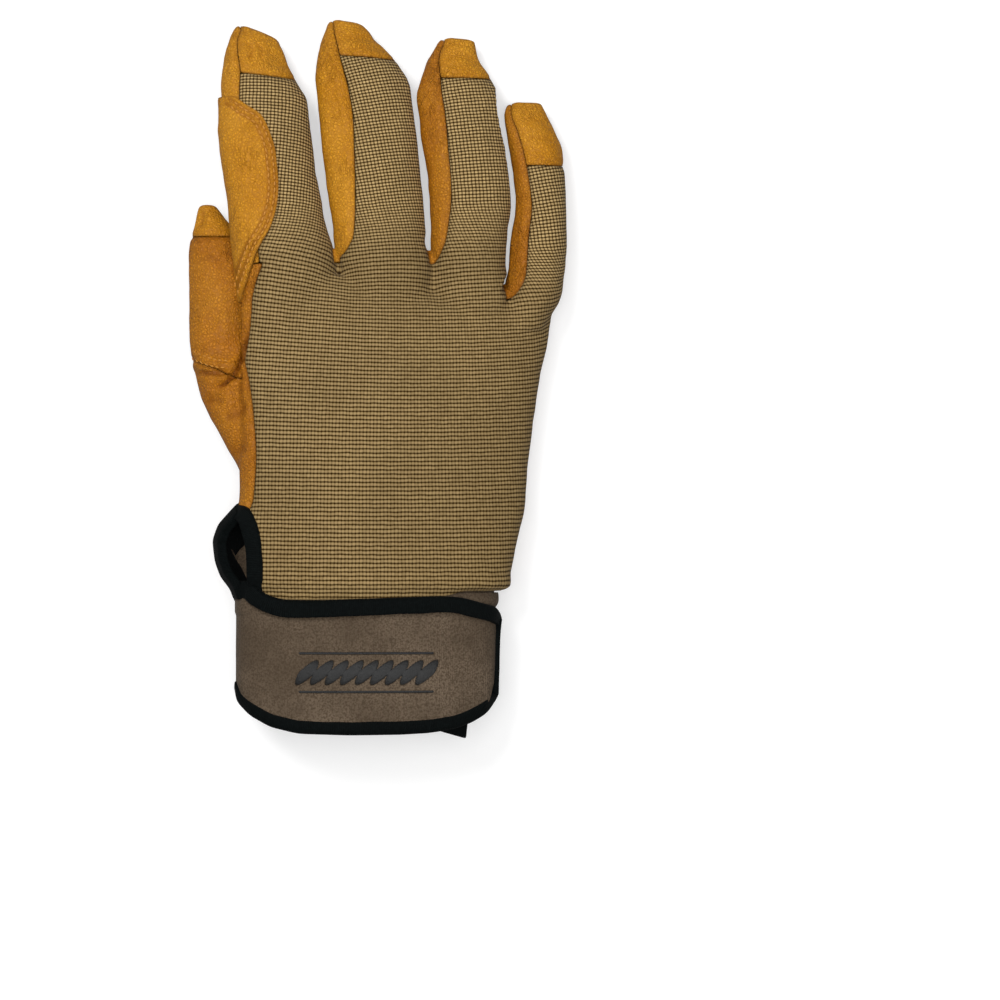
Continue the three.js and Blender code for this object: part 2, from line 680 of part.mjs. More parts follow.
// Loose corner of the hem's tape, under the strap's free end
const flapTop = -bandLength - hemTape - hemCorner.top;
const flapOutline = [
  [hemCorner.left, flapTop],
  [hemCorner.left, flapTop - hemCorner.leftDrop],
  [hemCorner.right - 1, flapTop - hemCorner.rightDrop],
  [hemCorner.right, flapTop],
];
const flapRing = (z) => flapOutline.map(([x, y]) => new THREE.Vector3(x, y, z));
const flapSheet = limbSolid(cuff, 0).subtract(limbSolid(cuff, -hemCorner.thick, 5));
keep("hem_corner", flapSheet.intersect(loft([flapRing(cuff.depth * 0.55), flapRing(far)])), edgeTape);

// Closing strap over the back of the cuff, with a rounded lower corner, and its edging tape
function strapZone(inset) {
  const left = cuff.root[0] - cuff.width;
  const right = cuff.root[0] + (strapEnd * cuff.width) / 2 - inset;
  const top = -strapTop - inset;
  const bottom = -strapLength - inset * -1;
  const reach = Math.max(strapCorner - inset, 1);
  const turn = (cx, cy, start) =>
    Array.from({ length: 6 }, (_, k) => {
      const angle = start + (k / 5) * (Math.PI / 2);
      return [cx + reach * Math.cos(angle), cy + reach * Math.sin(angle)];
    });
  const silhouette = section(cuff, 0.7).x - section(cuff, 0.7).halfWide - strapLift - cuffWall;
  const outline = [
    [right, top],
    [left, top],
    [left, bottom + reach + 6],
    ...turn(silhouette + reach + inset, bottom + reach, Math.PI),
    ...turn(right - reach, bottom + reach, -Math.PI / 2),
  ];
  const ringAt = (z) => outline.map(([x, y]) => new THREE.Vector3(x, y, z));
  return loftPolygon(ringAt(cuff.depth * 0.28), ringAt(far));
}

// A prism between two equal outlines, triangulated so that it may be concave
function loftPolygon(low, high) {
  const flat = low.map((p) => new THREE.Vector2(p.x, p.y));
  const triangles = THREE.ShapeUtils.triangulateShape(flat, []);
  const count = low.length;
  const faces = [];
  for (const [a, b, c] of triangles) faces.push([a, c, b], [a + count, b + count, c + count]);
  for (let k = 0; k < count; k++) {
    const next = (k + 1) % count;
    faces.push([k, next, next + count], [k, next + count, k + count]);
  }
  const points = [...low, ...high];
  const make = (turned) =>
    new wasm.Manifold(
      new wasm.Mesh({
        numProp: 3,
        vertProperties: new Float32Array(points.flatMap((p) => [p.x, p.y, p.z])),
        triVerts: new Uint32Array(faces.flatMap(([a, b, c]) => (turned ? [a, c, b] : [a, b, c]))),
      }),
    );
  const solid = make(false);
  return solid.volume() < 0 ? make(true) : solid;
}

const strapOuter = limbSolid(cuff, strapLift + cuffWall);
const strapInner = limbSolid(cuff, strapLift, 5);
const strapBody = strapOuter.subtract(strapInner).intersect(strapZone(tapeWidth + seamGap));
keep("wrist_strap", strapBody, foamCloth);
const tapeOuter = limbSolid(cuff, strapLift + cuffWall + tapeExtra / 2);
const tapeInner = limbSolid(cuff, strapLift - tapeExtra / 2, 5);
const strapTape = tapeOuter.subtract(tapeInner).intersect(strapZone(0)).subtract(strapZone(tapeWidth));
keep("strap_binding", strapTape, edgeTape);

// Leather tab with the oval hole, under the palm side of the cuff
const tabZone = box(
  tab.x - tab.width / 2,
  tab.x + tab.width / 2,
  -tab.length,
  -seamGap,
  -5,
  cuff.depth / 2,
);
const tabSheet = limbSolid(cuff, seamGap + patchWall)
  .subtract(limbSolid(cuff, seamGap))
  .intersect(box(-far, far, -far, far, 0, far));
keep("clip_tab", tabSheet.intersect(tabZone).subtract(hole(0)), leatherTan);

// Scene graph: one named mesh for each piece
const group = new THREE.Group();
for (const [name, { solid, look }] of pieces) {
  const { vertProperties, triVerts } = solid.getMesh();
  const geometry = new THREE.BufferGeometry();
  geometry.setAttribute("position", new THREE.BufferAttribute(new Float32Array(vertProperties), 3));
  geometry.setIndex(new THREE.BufferAttribute(new Uint32Array(triVerts), 1));
  const merged = mergeVertices(geometry, 1e-4);
  merged.computeVertexNormals();
  const mesh = new THREE.Mesh(merged, new THREE.MeshStandardMaterial({ ...look, metalness: 0 }));
  mesh.name = name;
  group.add(mesh);
}

// The origin is the middle of the part's underside
const bounds = new THREE.Box3().setFromObject(group);
const centre = bounds.getCenter(new THREE.Vector3());
group.position.set(-centre.x, -centre.y, -bounds.min.z);

export default group;
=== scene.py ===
# %% [markdown]
# A climbing glove, dressed over its CAD model. The CAD nodes give every piece its place. Here each sewn
# panel is made again as soft leather, stretch cloth or foam cloth, with seams, folds, stitches and tape.
# Lengths in the tables are millimetres or shares of a limb's own sizes, and mm turns them into metres.

# %% Load the frame
import json
import math

import bmesh
import bpy
import numpy as np
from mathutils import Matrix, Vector, bvhtree, kdtree, noise

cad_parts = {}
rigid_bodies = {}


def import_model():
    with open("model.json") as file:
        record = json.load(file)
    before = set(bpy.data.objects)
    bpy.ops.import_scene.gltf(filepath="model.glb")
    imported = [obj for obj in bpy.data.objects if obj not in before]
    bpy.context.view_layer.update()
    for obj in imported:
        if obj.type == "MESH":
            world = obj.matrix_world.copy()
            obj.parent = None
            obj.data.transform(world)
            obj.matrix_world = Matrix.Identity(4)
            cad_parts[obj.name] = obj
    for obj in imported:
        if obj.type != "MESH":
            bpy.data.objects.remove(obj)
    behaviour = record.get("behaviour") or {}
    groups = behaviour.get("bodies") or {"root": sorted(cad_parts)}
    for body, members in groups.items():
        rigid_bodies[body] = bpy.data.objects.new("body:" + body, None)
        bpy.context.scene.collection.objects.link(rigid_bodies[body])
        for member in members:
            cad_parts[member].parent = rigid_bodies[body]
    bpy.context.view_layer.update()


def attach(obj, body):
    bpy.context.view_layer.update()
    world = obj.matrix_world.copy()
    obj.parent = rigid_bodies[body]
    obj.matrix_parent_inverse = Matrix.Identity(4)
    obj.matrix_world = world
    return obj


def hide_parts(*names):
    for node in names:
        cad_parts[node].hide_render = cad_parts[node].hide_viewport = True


for leftover in list(bpy.data.objects):
    bpy.data.objects.remove(leftover)
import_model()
bpy.ops.object.select_all(action="DESELECT")
mm = 0.001

# %% Named sizes
leather_wall = 1.6
cloth_wall = 1.4
cuff_wall = 2.4
patch_wall = 1.2
lining_wall = 0.6
seam_gap = 0.3
under_patch = patch_wall + seam_gap
zone_lap = 0.6
block_height = 60
limb_reach = 1.7
above_all = 80.0
below_all = -20.0
slit_inset = 2.0
slit_floor = 19.5
hem_drop = 2.4
tip_length = 1.5
voxel = 0.8
softening = 10
frame_shift = (-0.411, -73.126)


def photo(x, y):
    """A point of the picture's frame as millimetres in the glove's frame."""
    return ((x - 377.69) * 0.345, (380.04 - y) * 0.345)


# %% [markdown]
# The hand is six limbs: palm, thumb and four fingers, and the cuff is a seventh. Each limb has a short
# table of sections across it. The same tables shape the CAD solids, so the dressed glove keeps its size.

# %% Limbs
columns = ("at", "shift", "wide", "deep", "rise", "roll", "slant")


def limb(name, root, lean, length, width, depth, power, floor, rows):
    table = np.array([row + (0,) * (7 - len(row)) for row in rows], float).T
    return {
        "name": name,
        "root": (root[0] + frame_shift[0], root[1] + frame_shift[1]),
        "lean": lean,
        "length": length,
        "width": width,
        "depth": depth,
        "power": power,
        "floor": floor,
        "table": dict(zip(columns, table)),
    }


palm = limb("palm", (-3.1, 0), 10.7, 106, 109.4, 29, 2.25, under_patch, [
    (0.0, 0.0, 0.829, 1.12, 0.585, 4),
    (0.02, 0.004, 0.885, 1.17, 0.6, 4),
    (0.06, -0.012, 0.915, 1.15, 0.595, 4.5),
    (0.17, -0.022, 0.958, 1.1, 0.58, 5.5),
    (0.235, -0.008, 0.95, 1.07, 0.57, 6.5),
    (0.29, 0.018, 0.908, 1.04, 0.565, 7.5),
    (0.42, 0.012, 0.916, 1.0, 0.56, 8.5),
    (0.72, 0.005, 0.956, 0.95, 0.565, 9),
    (0.85, 0.007, 0.98, 0.86, 0.57, 9),
    (0.93, 0.003, 0.99, 0.74, 0.575, 9, -0.05),
    (1.0, -0.01, 0.9, 0.42, 0.575, 9, -0.15),
])
cuff = limb("cuff", (-3.1, 0), -0.6, -53, 90.7, 32.5, 2.3, under_patch, [
    (0.0, 0.0, 1.0, 1.0, 0.522, 4),
    (0.07, 0.006, 0.985, 0.98, 0.515, 4),
    (0.16, 0.002, 0.93, 0.93, 0.5, 4),
    (0.4, 0.0, 0.925, 0.92, 0.495, 4),
    (0.75, 0.0, 0.92, 0.92, 0.495, 4),
    (1.0, -0.004, 0.9, 0.92, 0.495, 4),
])
index = limb("index", (-29.8, 90.4), -11.4, 102, 32.8, 20, 2.1, 0, [
    (0.0, 0.03, 0.96, 0.92, 1.1, 10),
    (0.23, 0.05, 1.05, 1.08, 1.08, 10),
    (0.4, 0.015, 0.96, 1.0, 0.99, 10),
    (0.64, -0.015, 0.94, 0.96, 0.81, 10),
    (0.78, -0.005, 0.91, 0.9, 0.65, 9),
    (0.85, -0.03, 0.8, 0.83, 0.55, 8, -0.08),
    (0.91, -0.045, 0.68, 0.73, 0.46, 7, -0.2),
    (0.98, -0.01, 0.54, 0.58, 0.36, 6, -0.35),
    (1.0, 0.0, 0.44, 0.44, 0.32, 6, -0.37),
])
middle = limb("middle", (3.3, 92.1), -13.5, 104, 34.8, 20, 2.1, 0, [
    (0.0, 0.03, 0.9, 0.95, 0.87, 9),
    (0.2, 0.08, 0.95, 1.07, 0.88, 9),
    (0.28, 0.055, 0.92, 1.03, 0.87, 9),
    (0.41, 0.06, 0.95, 1.0, 0.83, 9),
    (0.68, 0.075, 0.96, 0.96, 0.68, 9),
    (0.8, 0.08, 0.95, 0.91, 0.56, 8),
    (0.88, 0.05, 0.8, 0.82, 0.47, 7, -0.05),
    (0.947, 0.02, 0.58, 0.66, 0.39, 6, -0.12),
    (0.996, -0.01, 0.34, 0.44, 0.32, 6, -0.15),
])
ring = limb("ring", (32.3, 92.1), -4.5, 98, 30.4, 19, 2.1, 0, [
    (0.0, 0.0, 0.9, 0.95, 0.72, 8),
    (0.09, 0.02, 0.98, 1.09, 0.71, 8),
    (0.21, 0.01, 0.84, 1.05, 0.72, 8),
    (0.335, 0.04, 0.88, 1.02, 0.71, 8),
    (0.44, 0.075, 0.94, 1.0, 0.7, 8),
    (0.65, 0.025, 0.96, 0.97, 0.62, 8),
    (0.79, -0.01, 0.98, 0.92, 0.53, 8),
    (0.86, -0.03, 0.83, 0.84, 0.47, 7),
    (0.93, -0.045, 0.61, 0.68, 0.39, 6, -0.05),
    (0.996, 0.01, 0.4, 0.44, 0.32, 6, -0.08),
])
little = limb("little", (52.0, 90.4), -0.3, 77.3, 20, 16.5, 2.1, 0, [
    (0.0, -0.12, 0.8, 0.85, 0.72, 6),
    (0.18, 0.12, 0.98, 1.08, 0.64, 6),
    (0.42, 0.21, 0.98, 1.02, 0.6, 6),
    (0.56, 0.245, 0.87, 1.0, 0.57, 6),
    (0.8, 0.165, 0.91, 0.94, 0.5, 6),
    (0.89, 0.065, 0.82, 0.86, 0.45, 6),
    (0.97, -0.015, 0.72, 0.72, 0.39, 6, -0.03),
    (1.0, -0.03, 0.58, 0.5, 0.36, 6, -0.05),
])
thumb = limb("thumb", (-34.3, 31.7), -23.5, 100.4, 30.4, 20, 2.1, 0, [
    (0.0, 0.0, 0.5, 0.72, 0.83, 4),
    (0.1, 0.02, 0.73, 0.9, 0.83, 4),
    (0.36, -0.07, 1.04, 1.08, 0.67, 4),
    (0.5, -0.1, 0.99, 1.05, 0.57, 4),
    (0.74, -0.025, 0.83, 0.92, 0.48, 4),
    (0.86, -0.02, 0.66, 0.8, 0.43, 4),
    (0.955, -0.01, 0.38, 0.54, 0.36, 4),
    (1.0, -0.03, 0.18, 0.34, 0.33, 4),
])
fingers = [index, middle, ring, little]
hand = [palm, index, middle, ring, little, thumb]
print(len(hand), "limbs of the hand")


# %% Sections
def smooth_look_up(xs, ys, x):
    """Value at x of a soft curve through the points, which never swings past them."""
    xs = np.asarray(xs, float)
    ys = np.asarray(ys, float)
    x = np.clip(x, xs[0], xs[-1])
    k = np.clip(np.searchsorted(xs, x, side="right") - 1, 0, len(xs) - 2)
    slopes = np.diff(ys) / np.diff(xs)
    tangents = np.concatenate([slopes[:1], np.zeros(len(xs) - 2), slopes[-1:]])
    same = slopes[:-1] * slopes[1:] > 0
    sums = np.where(same, slopes[:-1] + slopes[1:], 1)
    tangents[1:-1] = np.where(same, 2 * slopes[:-1] * slopes[1:] / sums, 0)
    step = xs[k + 1] - xs[k]
    t = (x - xs[k]) / step
    low = (1 + 2 * t) * (1 - t) ** 2 * ys[k] + t * (1 - t) ** 2 * step * tangents[k]
    high = t * t * (3 - 2 * t) * ys[k + 1] + t * t * (t - 1) * step * tangents[k + 1]
    return low + high


def section(part, at):
    """Middle, half sizes, roll and slant of a limb's section, in millimetres and radians."""
    table = part["table"]
    value = {c: smooth_look_up(table["at"], table[c], at) for c in columns[1:]}
    return {
        "x": part["root"][0] + part["lean"] * at + value["shift"] * part["width"],
        "y": part["root"][1] + part["length"] * at,
        "z": value["rise"] * part["depth"],
        "half_wide": value["wide"] * part["width"] / 2,
        "half_deep": value["deep"] * part["depth"] / 2,
        "roll": np.radians(value["roll"]),
        "slant": value["slant"],
    }


def ramp(value, start, length):
    t = np.clip((value - start) / length, 0, 1)
    return t * t * (3 - 2 * t)


# While the limbs are joined they stand a little apart, so that near fingers don't grow together.
apart = {"index": -5, "middle": 0, "ring": 5, "little": 10}
fork_start = {"index": 113, "middle": 113, "ring": 113, "little": 99}
thumb_apart = (-6, -8)
thumb_start = 72


def apart_by(part, y):
    """Sideways and downward shift of a limb's point while the limbs stand apart."""
    if part is thumb:
        share = ramp(y - frame_shift[1], thumb_start, 24)
        return thumb_apart[0] * share, thumb_apart[1] * share
    if part["name"] in apart:
        share = ramp(y - frame_shift[1], fork_start[part["name"]], 22)
        return apart[part["name"]] * share, 0 * share
    return 0 * y, 0 * y


def ring_points(part, at, grow, count, extra_y=0.0):
    """One ring of points around a limb, grown outwards by grow millimetres."""
    cut = section(part, at)
    angle = (np.arange(count) + 0.5) / count * 2 * np.pi

    def bend(value):
        return np.sign(value) * np.abs(value) ** (2 / part["power"])

    across = (cut["half_wide"] + grow) * bend(np.cos(angle))
    up = (cut["half_deep"] + grow) * bend(np.sin(angle))
    x = across * np.cos(cut["roll"]) + up * np.sin(cut["roll"])
    z = up * np.cos(cut["roll"]) - across * np.sin(cut["roll"])
    y = cut["y"] + cut["slant"] * x + extra_y
    z = np.maximum(cut["z"] + z, part["floor"] - max(grow, 0))
    dx, dz = apart_by(part, y)
    return np.stack([cut["x"] + x + dx, y, z + dz], 1)


print("index tip", np.round(ring_points(index, 1.0, 0, 4), 1).tolist()[0])


# %% [markdown]
# A limb starts as a circle on its first section. The face is extruded once for each section, and each
# new ring is set on its own section. That is how a tapering glove finger is drawn by hand in edit mode.

# %% Loft a limb by extrusion
def only(obj):
    bpy.ops.object.select_all(action="DESELECT")
    obj.select_set(True)
    bpy.context.view_layer.objects.active = obj


def link(name, data):
    obj = bpy.data.objects.new(name, data)
    bpy.context.scene.collection.objects.link(obj)
    return obj


def mesh_object(name, points, faces):
    """A new object from points in millimetres."""
    mesh = bpy.data.meshes.new(name)
    mesh.from_pydata((np.asarray(points, float).reshape(-1, 3) * mm).tolist(), [], faces)
    return link(name, mesh)


def extrude_loft(name, rings):
    bpy.ops.object.select_all(action="DESELECT")
    bpy.ops.mesh.primitive_circle_add(vertices=len(rings[0]), radius=mm, fill_type="NGON")
    obj = bpy.context.object
    obj.name = name
    bpy.ops.object.mode_set(mode="EDIT")
    bm = bmesh.from_edit_mesh(obj.data)
    bm.verts.ensure_lookup_table()
    last = list(bm.verts)
    for vert, point in zip(last, rings[0]):
        vert.co = Vector(point) * mm
    bmesh.update_edit_mesh(obj.data)
    for points in rings[1:]:
        bpy.ops.mesh.extrude_region_move()
        bm = bmesh.from_edit_mesh(obj.data)
        fresh = {}
        for vert in bm.verts:
            if vert.select:
                others = (edge.other_vert(vert) for edge in vert.link_edges)
                fresh.update((other.index, vert) for other in others if not other.select)
        last = [fresh[vert.index] for vert in last]
        for vert, point in zip(last, points):
            vert.co = Vector(point) * mm
        bm.verts.index_update()
        bmesh.update_edit_mesh(obj.data)
    bpy.ops.mesh.select_all(action="SELECT")
    bpy.ops.mesh.normals_make_consistent(inside=False)
    bpy.ops.object.mode_set(mode="OBJECT")
    return obj


def stations(part, low, high, count):
    own = [a for a in part["table"]["at"] if low < a < high]
    return sorted(set(np.round(np.concatenate([np.linspace(low, high, count), own]), 4)))


def limb_object(part, grow=0.0, count=40, steps=22, reach=0.0, tip=0.0):
    low, high = part["table"]["at"][0], part["table"]["at"][-1]
    direction = np.sign(part["length"])
    ats = stations(part, low, high, steps)
    rings = []
    if reach:
        rings.append(ring_points(part, low, grow, count, -reach * direction))
    for at in ats:
        end = (grow + tip) * direction if at == ats[-1] else 0
        rings.append(ring_points(part, at, grow, count, end))
    return extrude_loft(part["name"] + "_form", rings)


# %% [markdown]
# The six limbs are joined and remeshed into one skin, as felt is fulled over a hand-shaped block. A voxel
# remesh was chosen because it grows the palm into the fingers with a soft hollow at each root. Smoothing
# rounds the fingertips and takes the steps of the voxels away.

# %% One skin for the hand
parts = [limb_object(palm, count=64, steps=30, reach=7)]
parts += [limb_object(part, steps=30, tip=tip_length) for part in hand[1:]]
bpy.ops.object.select_all(action="DESELECT")
for obj in parts:
    obj.select_set(True)
bpy.context.view_layer.objects.active = parts[0]
bpy.ops.object.join()
skin = bpy.context.object
skin.name = "hand_skin"
skin.data.remesh_voxel_size = voxel * mm
skin.data.remesh_voxel_adaptivity = 0
bpy.ops.object.voxel_remesh()
softer = skin.modifiers.new("softer", "SMOOTH")
softer.factor = 0.5
softer.iterations = softening
bpy.ops.object.modifier_apply(modifier="softer")
print("skin", len(skin.data.vertices), "vertices")


def read_points(obj):
    flat = np.zeros(len(obj.data.vertices) * 3)
    obj.data.vertices.foreach_get("co", flat)
    return flat.reshape(-1, 3) / mm


def write_points(obj, points):
    obj.data.vertices.foreach_set("co", (points * mm).astype(np.float32).ravel())
    obj.data.update()


def read_normals(obj):
    flat = np.zeros(len(obj.data.vertices) * 3)
    obj.data.vertices.foreach_get("normal", flat)
    return flat.reshape(-1, 3)


# %% Which limb a point belongs to
def limb_coordinates(part, points):
    """Share along a limb, sideways and upward place in half sizes, for points that stand apart."""
    at = (points[:, 1] - part["root"][1]) / part["length"]
    low, high = part["table"]["at"][0], part["table"]["at"][-1]
    cut = section(part, np.clip(at, low, high))
    dx, dz = apart_by(part, points[:, 1])
    across = (points[:, 0] - cut["x"] - dx) / cut["half_wide"]
    up = (points[:, 2] - cut["z"] - dz) / cut["half_deep"]
    return at, across, up


def together(points):
    """Moves points from where the limbs stand apart to where they lie on the glove."""
    y = points[:, 1]
    centres = [section(f, (y - f["root"][1]) / f["length"])["x"] + apart_by(f, y)[0] for f in fingers]
    shift = apart_by(index, y)[0]
    for k in range(3):
        middle_line = (centres[k] + centres[k + 1]) / 2
        share = np.clip((points[:, 0] - middle_line) / 1.6 + 0.5, 0, 1)
        shift = shift + share * (apart_by(fingers[k + 1], y)[0] - apart_by(fingers[k], y)[0])
    at, across, up = limb_coordinates(thumb, points)
    radius_thumb = np.hypot(across, up) + 4 * np.clip(at - 1, 0, None)
    others = []
    for part in (palm, index):
        at, across, up = limb_coordinates(part, points)
        beyond = np.clip(at - 1, 0, None) + np.clip(-at, 0, None)
        others.append(np.hypot(across, up) + 4 * beyond)
    on_thumb = np.clip(0.5 + 1.5 * (np.minimum(*others) - radius_thumb), 0, 1)
    dx, dz = apart_by(thumb, y)
    moved = points.copy()
    moved[:, 0] -= (1 - on_thumb) * shift + on_thumb * dx
    moved[:, 2] -= on_thumb * dz
    return moved


# %% [markdown]
# Leather creases where the thumb and the fingers bend. Each crease is a short line on the top or the
# underside, and the skin is pressed in along it with a low ridge on both sides. Moving points in code
# was chosen over sculpting, because a line of three or four points is quickly moved to its place.

# %% Creases and soft swells
def line_distance(points, line):
    """Distance in the plane from points to a broken line, and the share along it."""
    best = np.full(len(points), 1e9)
    along = np.zeros(len(points))
    line = np.asarray(line, float)
    lengths = np.linalg.norm(np.diff(line, axis=0), axis=1)
    total = lengths.sum()
    done = 0.0
    for a, b, length in zip(line[:-1], line[1:], lengths):
        d = b - a
        t = np.clip(((points[:, :2] - a) @ d) / (d @ d), 0, 1)
        gap = np.linalg.norm(points[:, :2] - (a + t[:, None] * d), axis=1)
        near = gap < best
        best[near] = gap[near]
        along[near] = (done + t[near] * length) / total
        done += length
    return best, along


def beside(line, gap):
    """The line moved sideways by gap millimetres."""
    line = np.asarray(line, float)
    step = np.gradient(line, axis=0)
    step /= np.linalg.norm(step, axis=1)[:, None]
    return line + gap * np.stack([-step[:, 1], step[:, 0]], 1)


def palm_view(x, y):
    """A point of the palm view, turned over and laid on the same frame."""
    down = y - 229
    turn = np.interp(down, [200, 275, 590], [1037, 1050, 985])
    return photo(turn - x, down)


# Each crease has a depth, a width and the spots that it runs through in its own view.
top_creases = [
    # ridge seam over the thumb's root, the hollow under it and the curled edge beside it
    (-0.9, 2.0, [(190, 357), (202, 363), (216, 366), (230, 366)]),
    (0.8, 1.0, [(196, 370), (210, 373), (222, 373), (229, 371)]),
    (1.7, 0.8, [(248, 335), (244, 352), (240, 365), (234, 376), (226, 384), (214, 389)]),
    (-0.5, 1.8, [(238, 358), (232, 370), (222, 379), (213, 384)]),
    (0.5, 1.6, [(205, 402), (216, 400), (226, 404)]),
    (0.5, 1.8, [(222, 420), (240, 414), (250, 402)]),
    (0.4, 1.8, [(233, 455), (248, 446)]),
    (0.35, 1.6, [(192, 262), (210, 258), (226, 263)]),
    (0.4, 1.2, [(224, 300), (229, 320), (228, 345)]),
    (0.35, 1.1, [(232, 296), (236, 318), (236, 340)]),
    (0.5, 0.9, [(203, 208), (202, 218), (200, 229)]),
    # fingertips
    (0.5, 0.9, [(246, 40), (252, 50), (249, 62)]),
    (0.5, 0.9, [(254, 42), (262, 50), (262, 60)]),
    (0.35, 1.0, [(266, 46), (272, 56)]),
    (0.35, 1.3, [(341, 40), (358, 36), (384, 43)]),
    (0.3, 1.1, [(344, 50), (366, 47), (388, 52)]),
    (0.3, 1.2, [(444, 58), (458, 54), (478, 60)]),
    (0.3, 1.2, [(516, 120), (530, 117), (548, 122)]),
    (0.3, 1.2, [(522, 140), (538, 137), (556, 140)]),
    # knuckle swells in the stretch cloth
    (0.25, 3.0, [(262, 205), (290, 214), (318, 208)]),
    (0.2, 3.0, [(350, 190), (388, 196), (424, 190)]),
    (0.2, 3.0, [(452, 200), (480, 205), (512, 198)]),
    (0.3, 4.0, [(340, 262), (352, 290), (356, 320)]),
    (0.3, 4.0, [(433, 262), (437, 290), (440, 318)]),
    (0.25, 4.0, [(515, 302), (511, 325), (505, 350)]),
]
under_creases = [
    # folds of the leather below the patch and beside the thumb
    (0.7, 2.2, [(490, 742), (540, 752), (610, 746), (660, 738)]),
    (0.5, 2.0, [(500, 775), (560, 784), (640, 772)]),
    (0.45, 2.0, [(520, 800), (590, 806), (690, 800)]),
    (0.9, 2.4, [(716, 545), (701, 600), (684, 650), (674, 712)]),
    (0.5, 2.0, [(690, 700), (684, 750), (664, 800)]),
    (0.4, 2.0, [(712, 730), (730, 780), (728, 820)]),
    # finger creases
    (0.4, 1.8, [(640, 330), (672, 334), (706, 330)]),
    (0.4, 1.8, [(638, 392), (672, 398), (706, 392)]),
    (0.35, 1.8, [(548, 350), (575, 354), (604, 350)]),
    (0.35, 1.8, [(745, 350), (775, 356), (800, 350)]),
    (0.35, 1.8, [(735, 405), (768, 412), (800, 404)]),
]


def press_creases(points, normals):
    """Presses the creases into points and gives how deep each point went."""
    moved = np.zeros(len(points))
    lying = together(points)
    for lines, side, view in ((top_creases, 1, photo), (under_creases, -1, palm_view)):
        facing = np.clip(side * normals[:, 2] * 2.5, 0, 1)
        for depth, width, line in lines:
            away, along = line_distance(lying, [view(*spot) for spot in line])
            fade = np.clip(np.minimum(along, 1 - along) * 5, 0.25, 1)
            valley = np.exp(-((away / width) ** 2))
            ridge = np.exp(-(((away - 2.1 * width) / (0.9 * width)) ** 2))
            moved -= facing * fade * depth * (valley - 0.4 * ridge)
    return moved


def swell(points, size, seed):
    """Soft random swell, between about -1 and 1, over distances of size millimetres."""
    offset = Vector((seed * 7.3, seed * 3.1, seed * 5.7))
    return np.array([noise.noise(Vector(p) / size + offset) for p in points]) * 2


points = read_points(skin)
normals = read_normals(skin)
depth = press_creases(points, normals)
lift = depth + 0.16 * swell(points, 11.0, 1) + 0.1 * swell(points, 5.0, 2)
points = points + normals * lift[:, None]
write_points(skin, points)
# The depth of each crease is kept, and the leather finish paints shade into it.
pressed = skin.data.attributes.new("fold", "FLOAT", "POINT")
pressed.data.foreach_set("value", np.clip(-depth, 0, 2).astype(np.float32))
print("creases", len(top_creases) + len(under_creases), "deepest", round(float(depth.min()), 2), "mm")

skin_normals = read_normals(skin)
skin_finder = kdtree.KDTree(len(points))
for number, p in enumerate(points):
    skin_finder.insert(p, number)
skin_finder.balance()


def normals_of_skin(points):
    """The whole skin's normal at each point, which stays steady along a cut edge."""
    near = [skin_finder.find_n(p, 4) for p in points]
    found = np.array([sum(skin_normals[k] / (d + 0.05) for _, k, d in four) for four in near])
    return found / np.linalg.norm(found, axis=1)[:, None]


# %% [markdown]
# Every sewn panel is cut from the skin along its own seam lines, as a pattern cutter does. A cutter is a
# closed block that follows a limb between two lines. A Boolean keeps the skin inside it, and the faces
# that the block itself leaves are removed, so that the panel is an open sheet with exact edges.

# %% Cutting blocks
cut_paint = bpy.data.materials.new("cut_face")
skin_paint = bpy.data.materials.new("skin_face")
skin.data.materials.clear()
skin.data.materials.append(skin_paint)


def block(rings):
    """A closed block through rings of equal counts, painted as a cut."""
    rows, count = np.shape(rings)[:2]
    faces = [list(range(count))[::-1], list(range((rows - 1) * count, rows * count))]
    for row in range(rows - 1):
        for k in range(count):
            a = row * count + k
            b = row * count + (k + 1) % count
            faces.append([a, b, b + count, a + count])
    obj = mesh_object("block", rings, faces)
    obj.data.materials.append(cut_paint)
    bm = bmesh.new()
    bm.from_mesh(obj.data)
    bmesh.ops.recalc_face_normals(bm, faces=bm.faces)
    bm.to_mesh(obj.data)
    bm.free()
    return obj


def prism(outline, bottom_z, top_z):
    """A closed block that stands on an outline seen from above."""
    outline = list(outline)
    return block([[(x, y, z) for x, y in outline] for z in (bottom_z, top_z)])


def box_block(x0, x1, y0, y1, z0, z1):
    low = [(x0, y0, z0), (x1, y0, z0), (x1, y0, z1), (x0, y0, z1)]
    high = [(x0, y1, z0), (x1, y1, z0), (x1, y1, z1), (x0, y1, z1)]
    return block([low, high])


def remove(obj):
    mesh = obj.data
    bpy.data.objects.remove(obj)
    bpy.data.meshes.remove(mesh)


def cut(obj, cutter, operation, keep_cutter=False):
    only(obj)
    modifier = obj.modifiers.new("cut", "BOOLEAN")
    modifier.operation = operation
    modifier.solver = "MANIFOLD"
    modifier.material_mode = "TRANSFER"
    modifier.object = cutter
    bpy.ops.object.modifier_apply(modifier="cut")
    if not keep_cutter:
        remove(cutter)
    return obj


def union(blocks):
    first = blocks[0]
    for other in blocks[1:]:
        cut(first, other, "UNION")
    return first


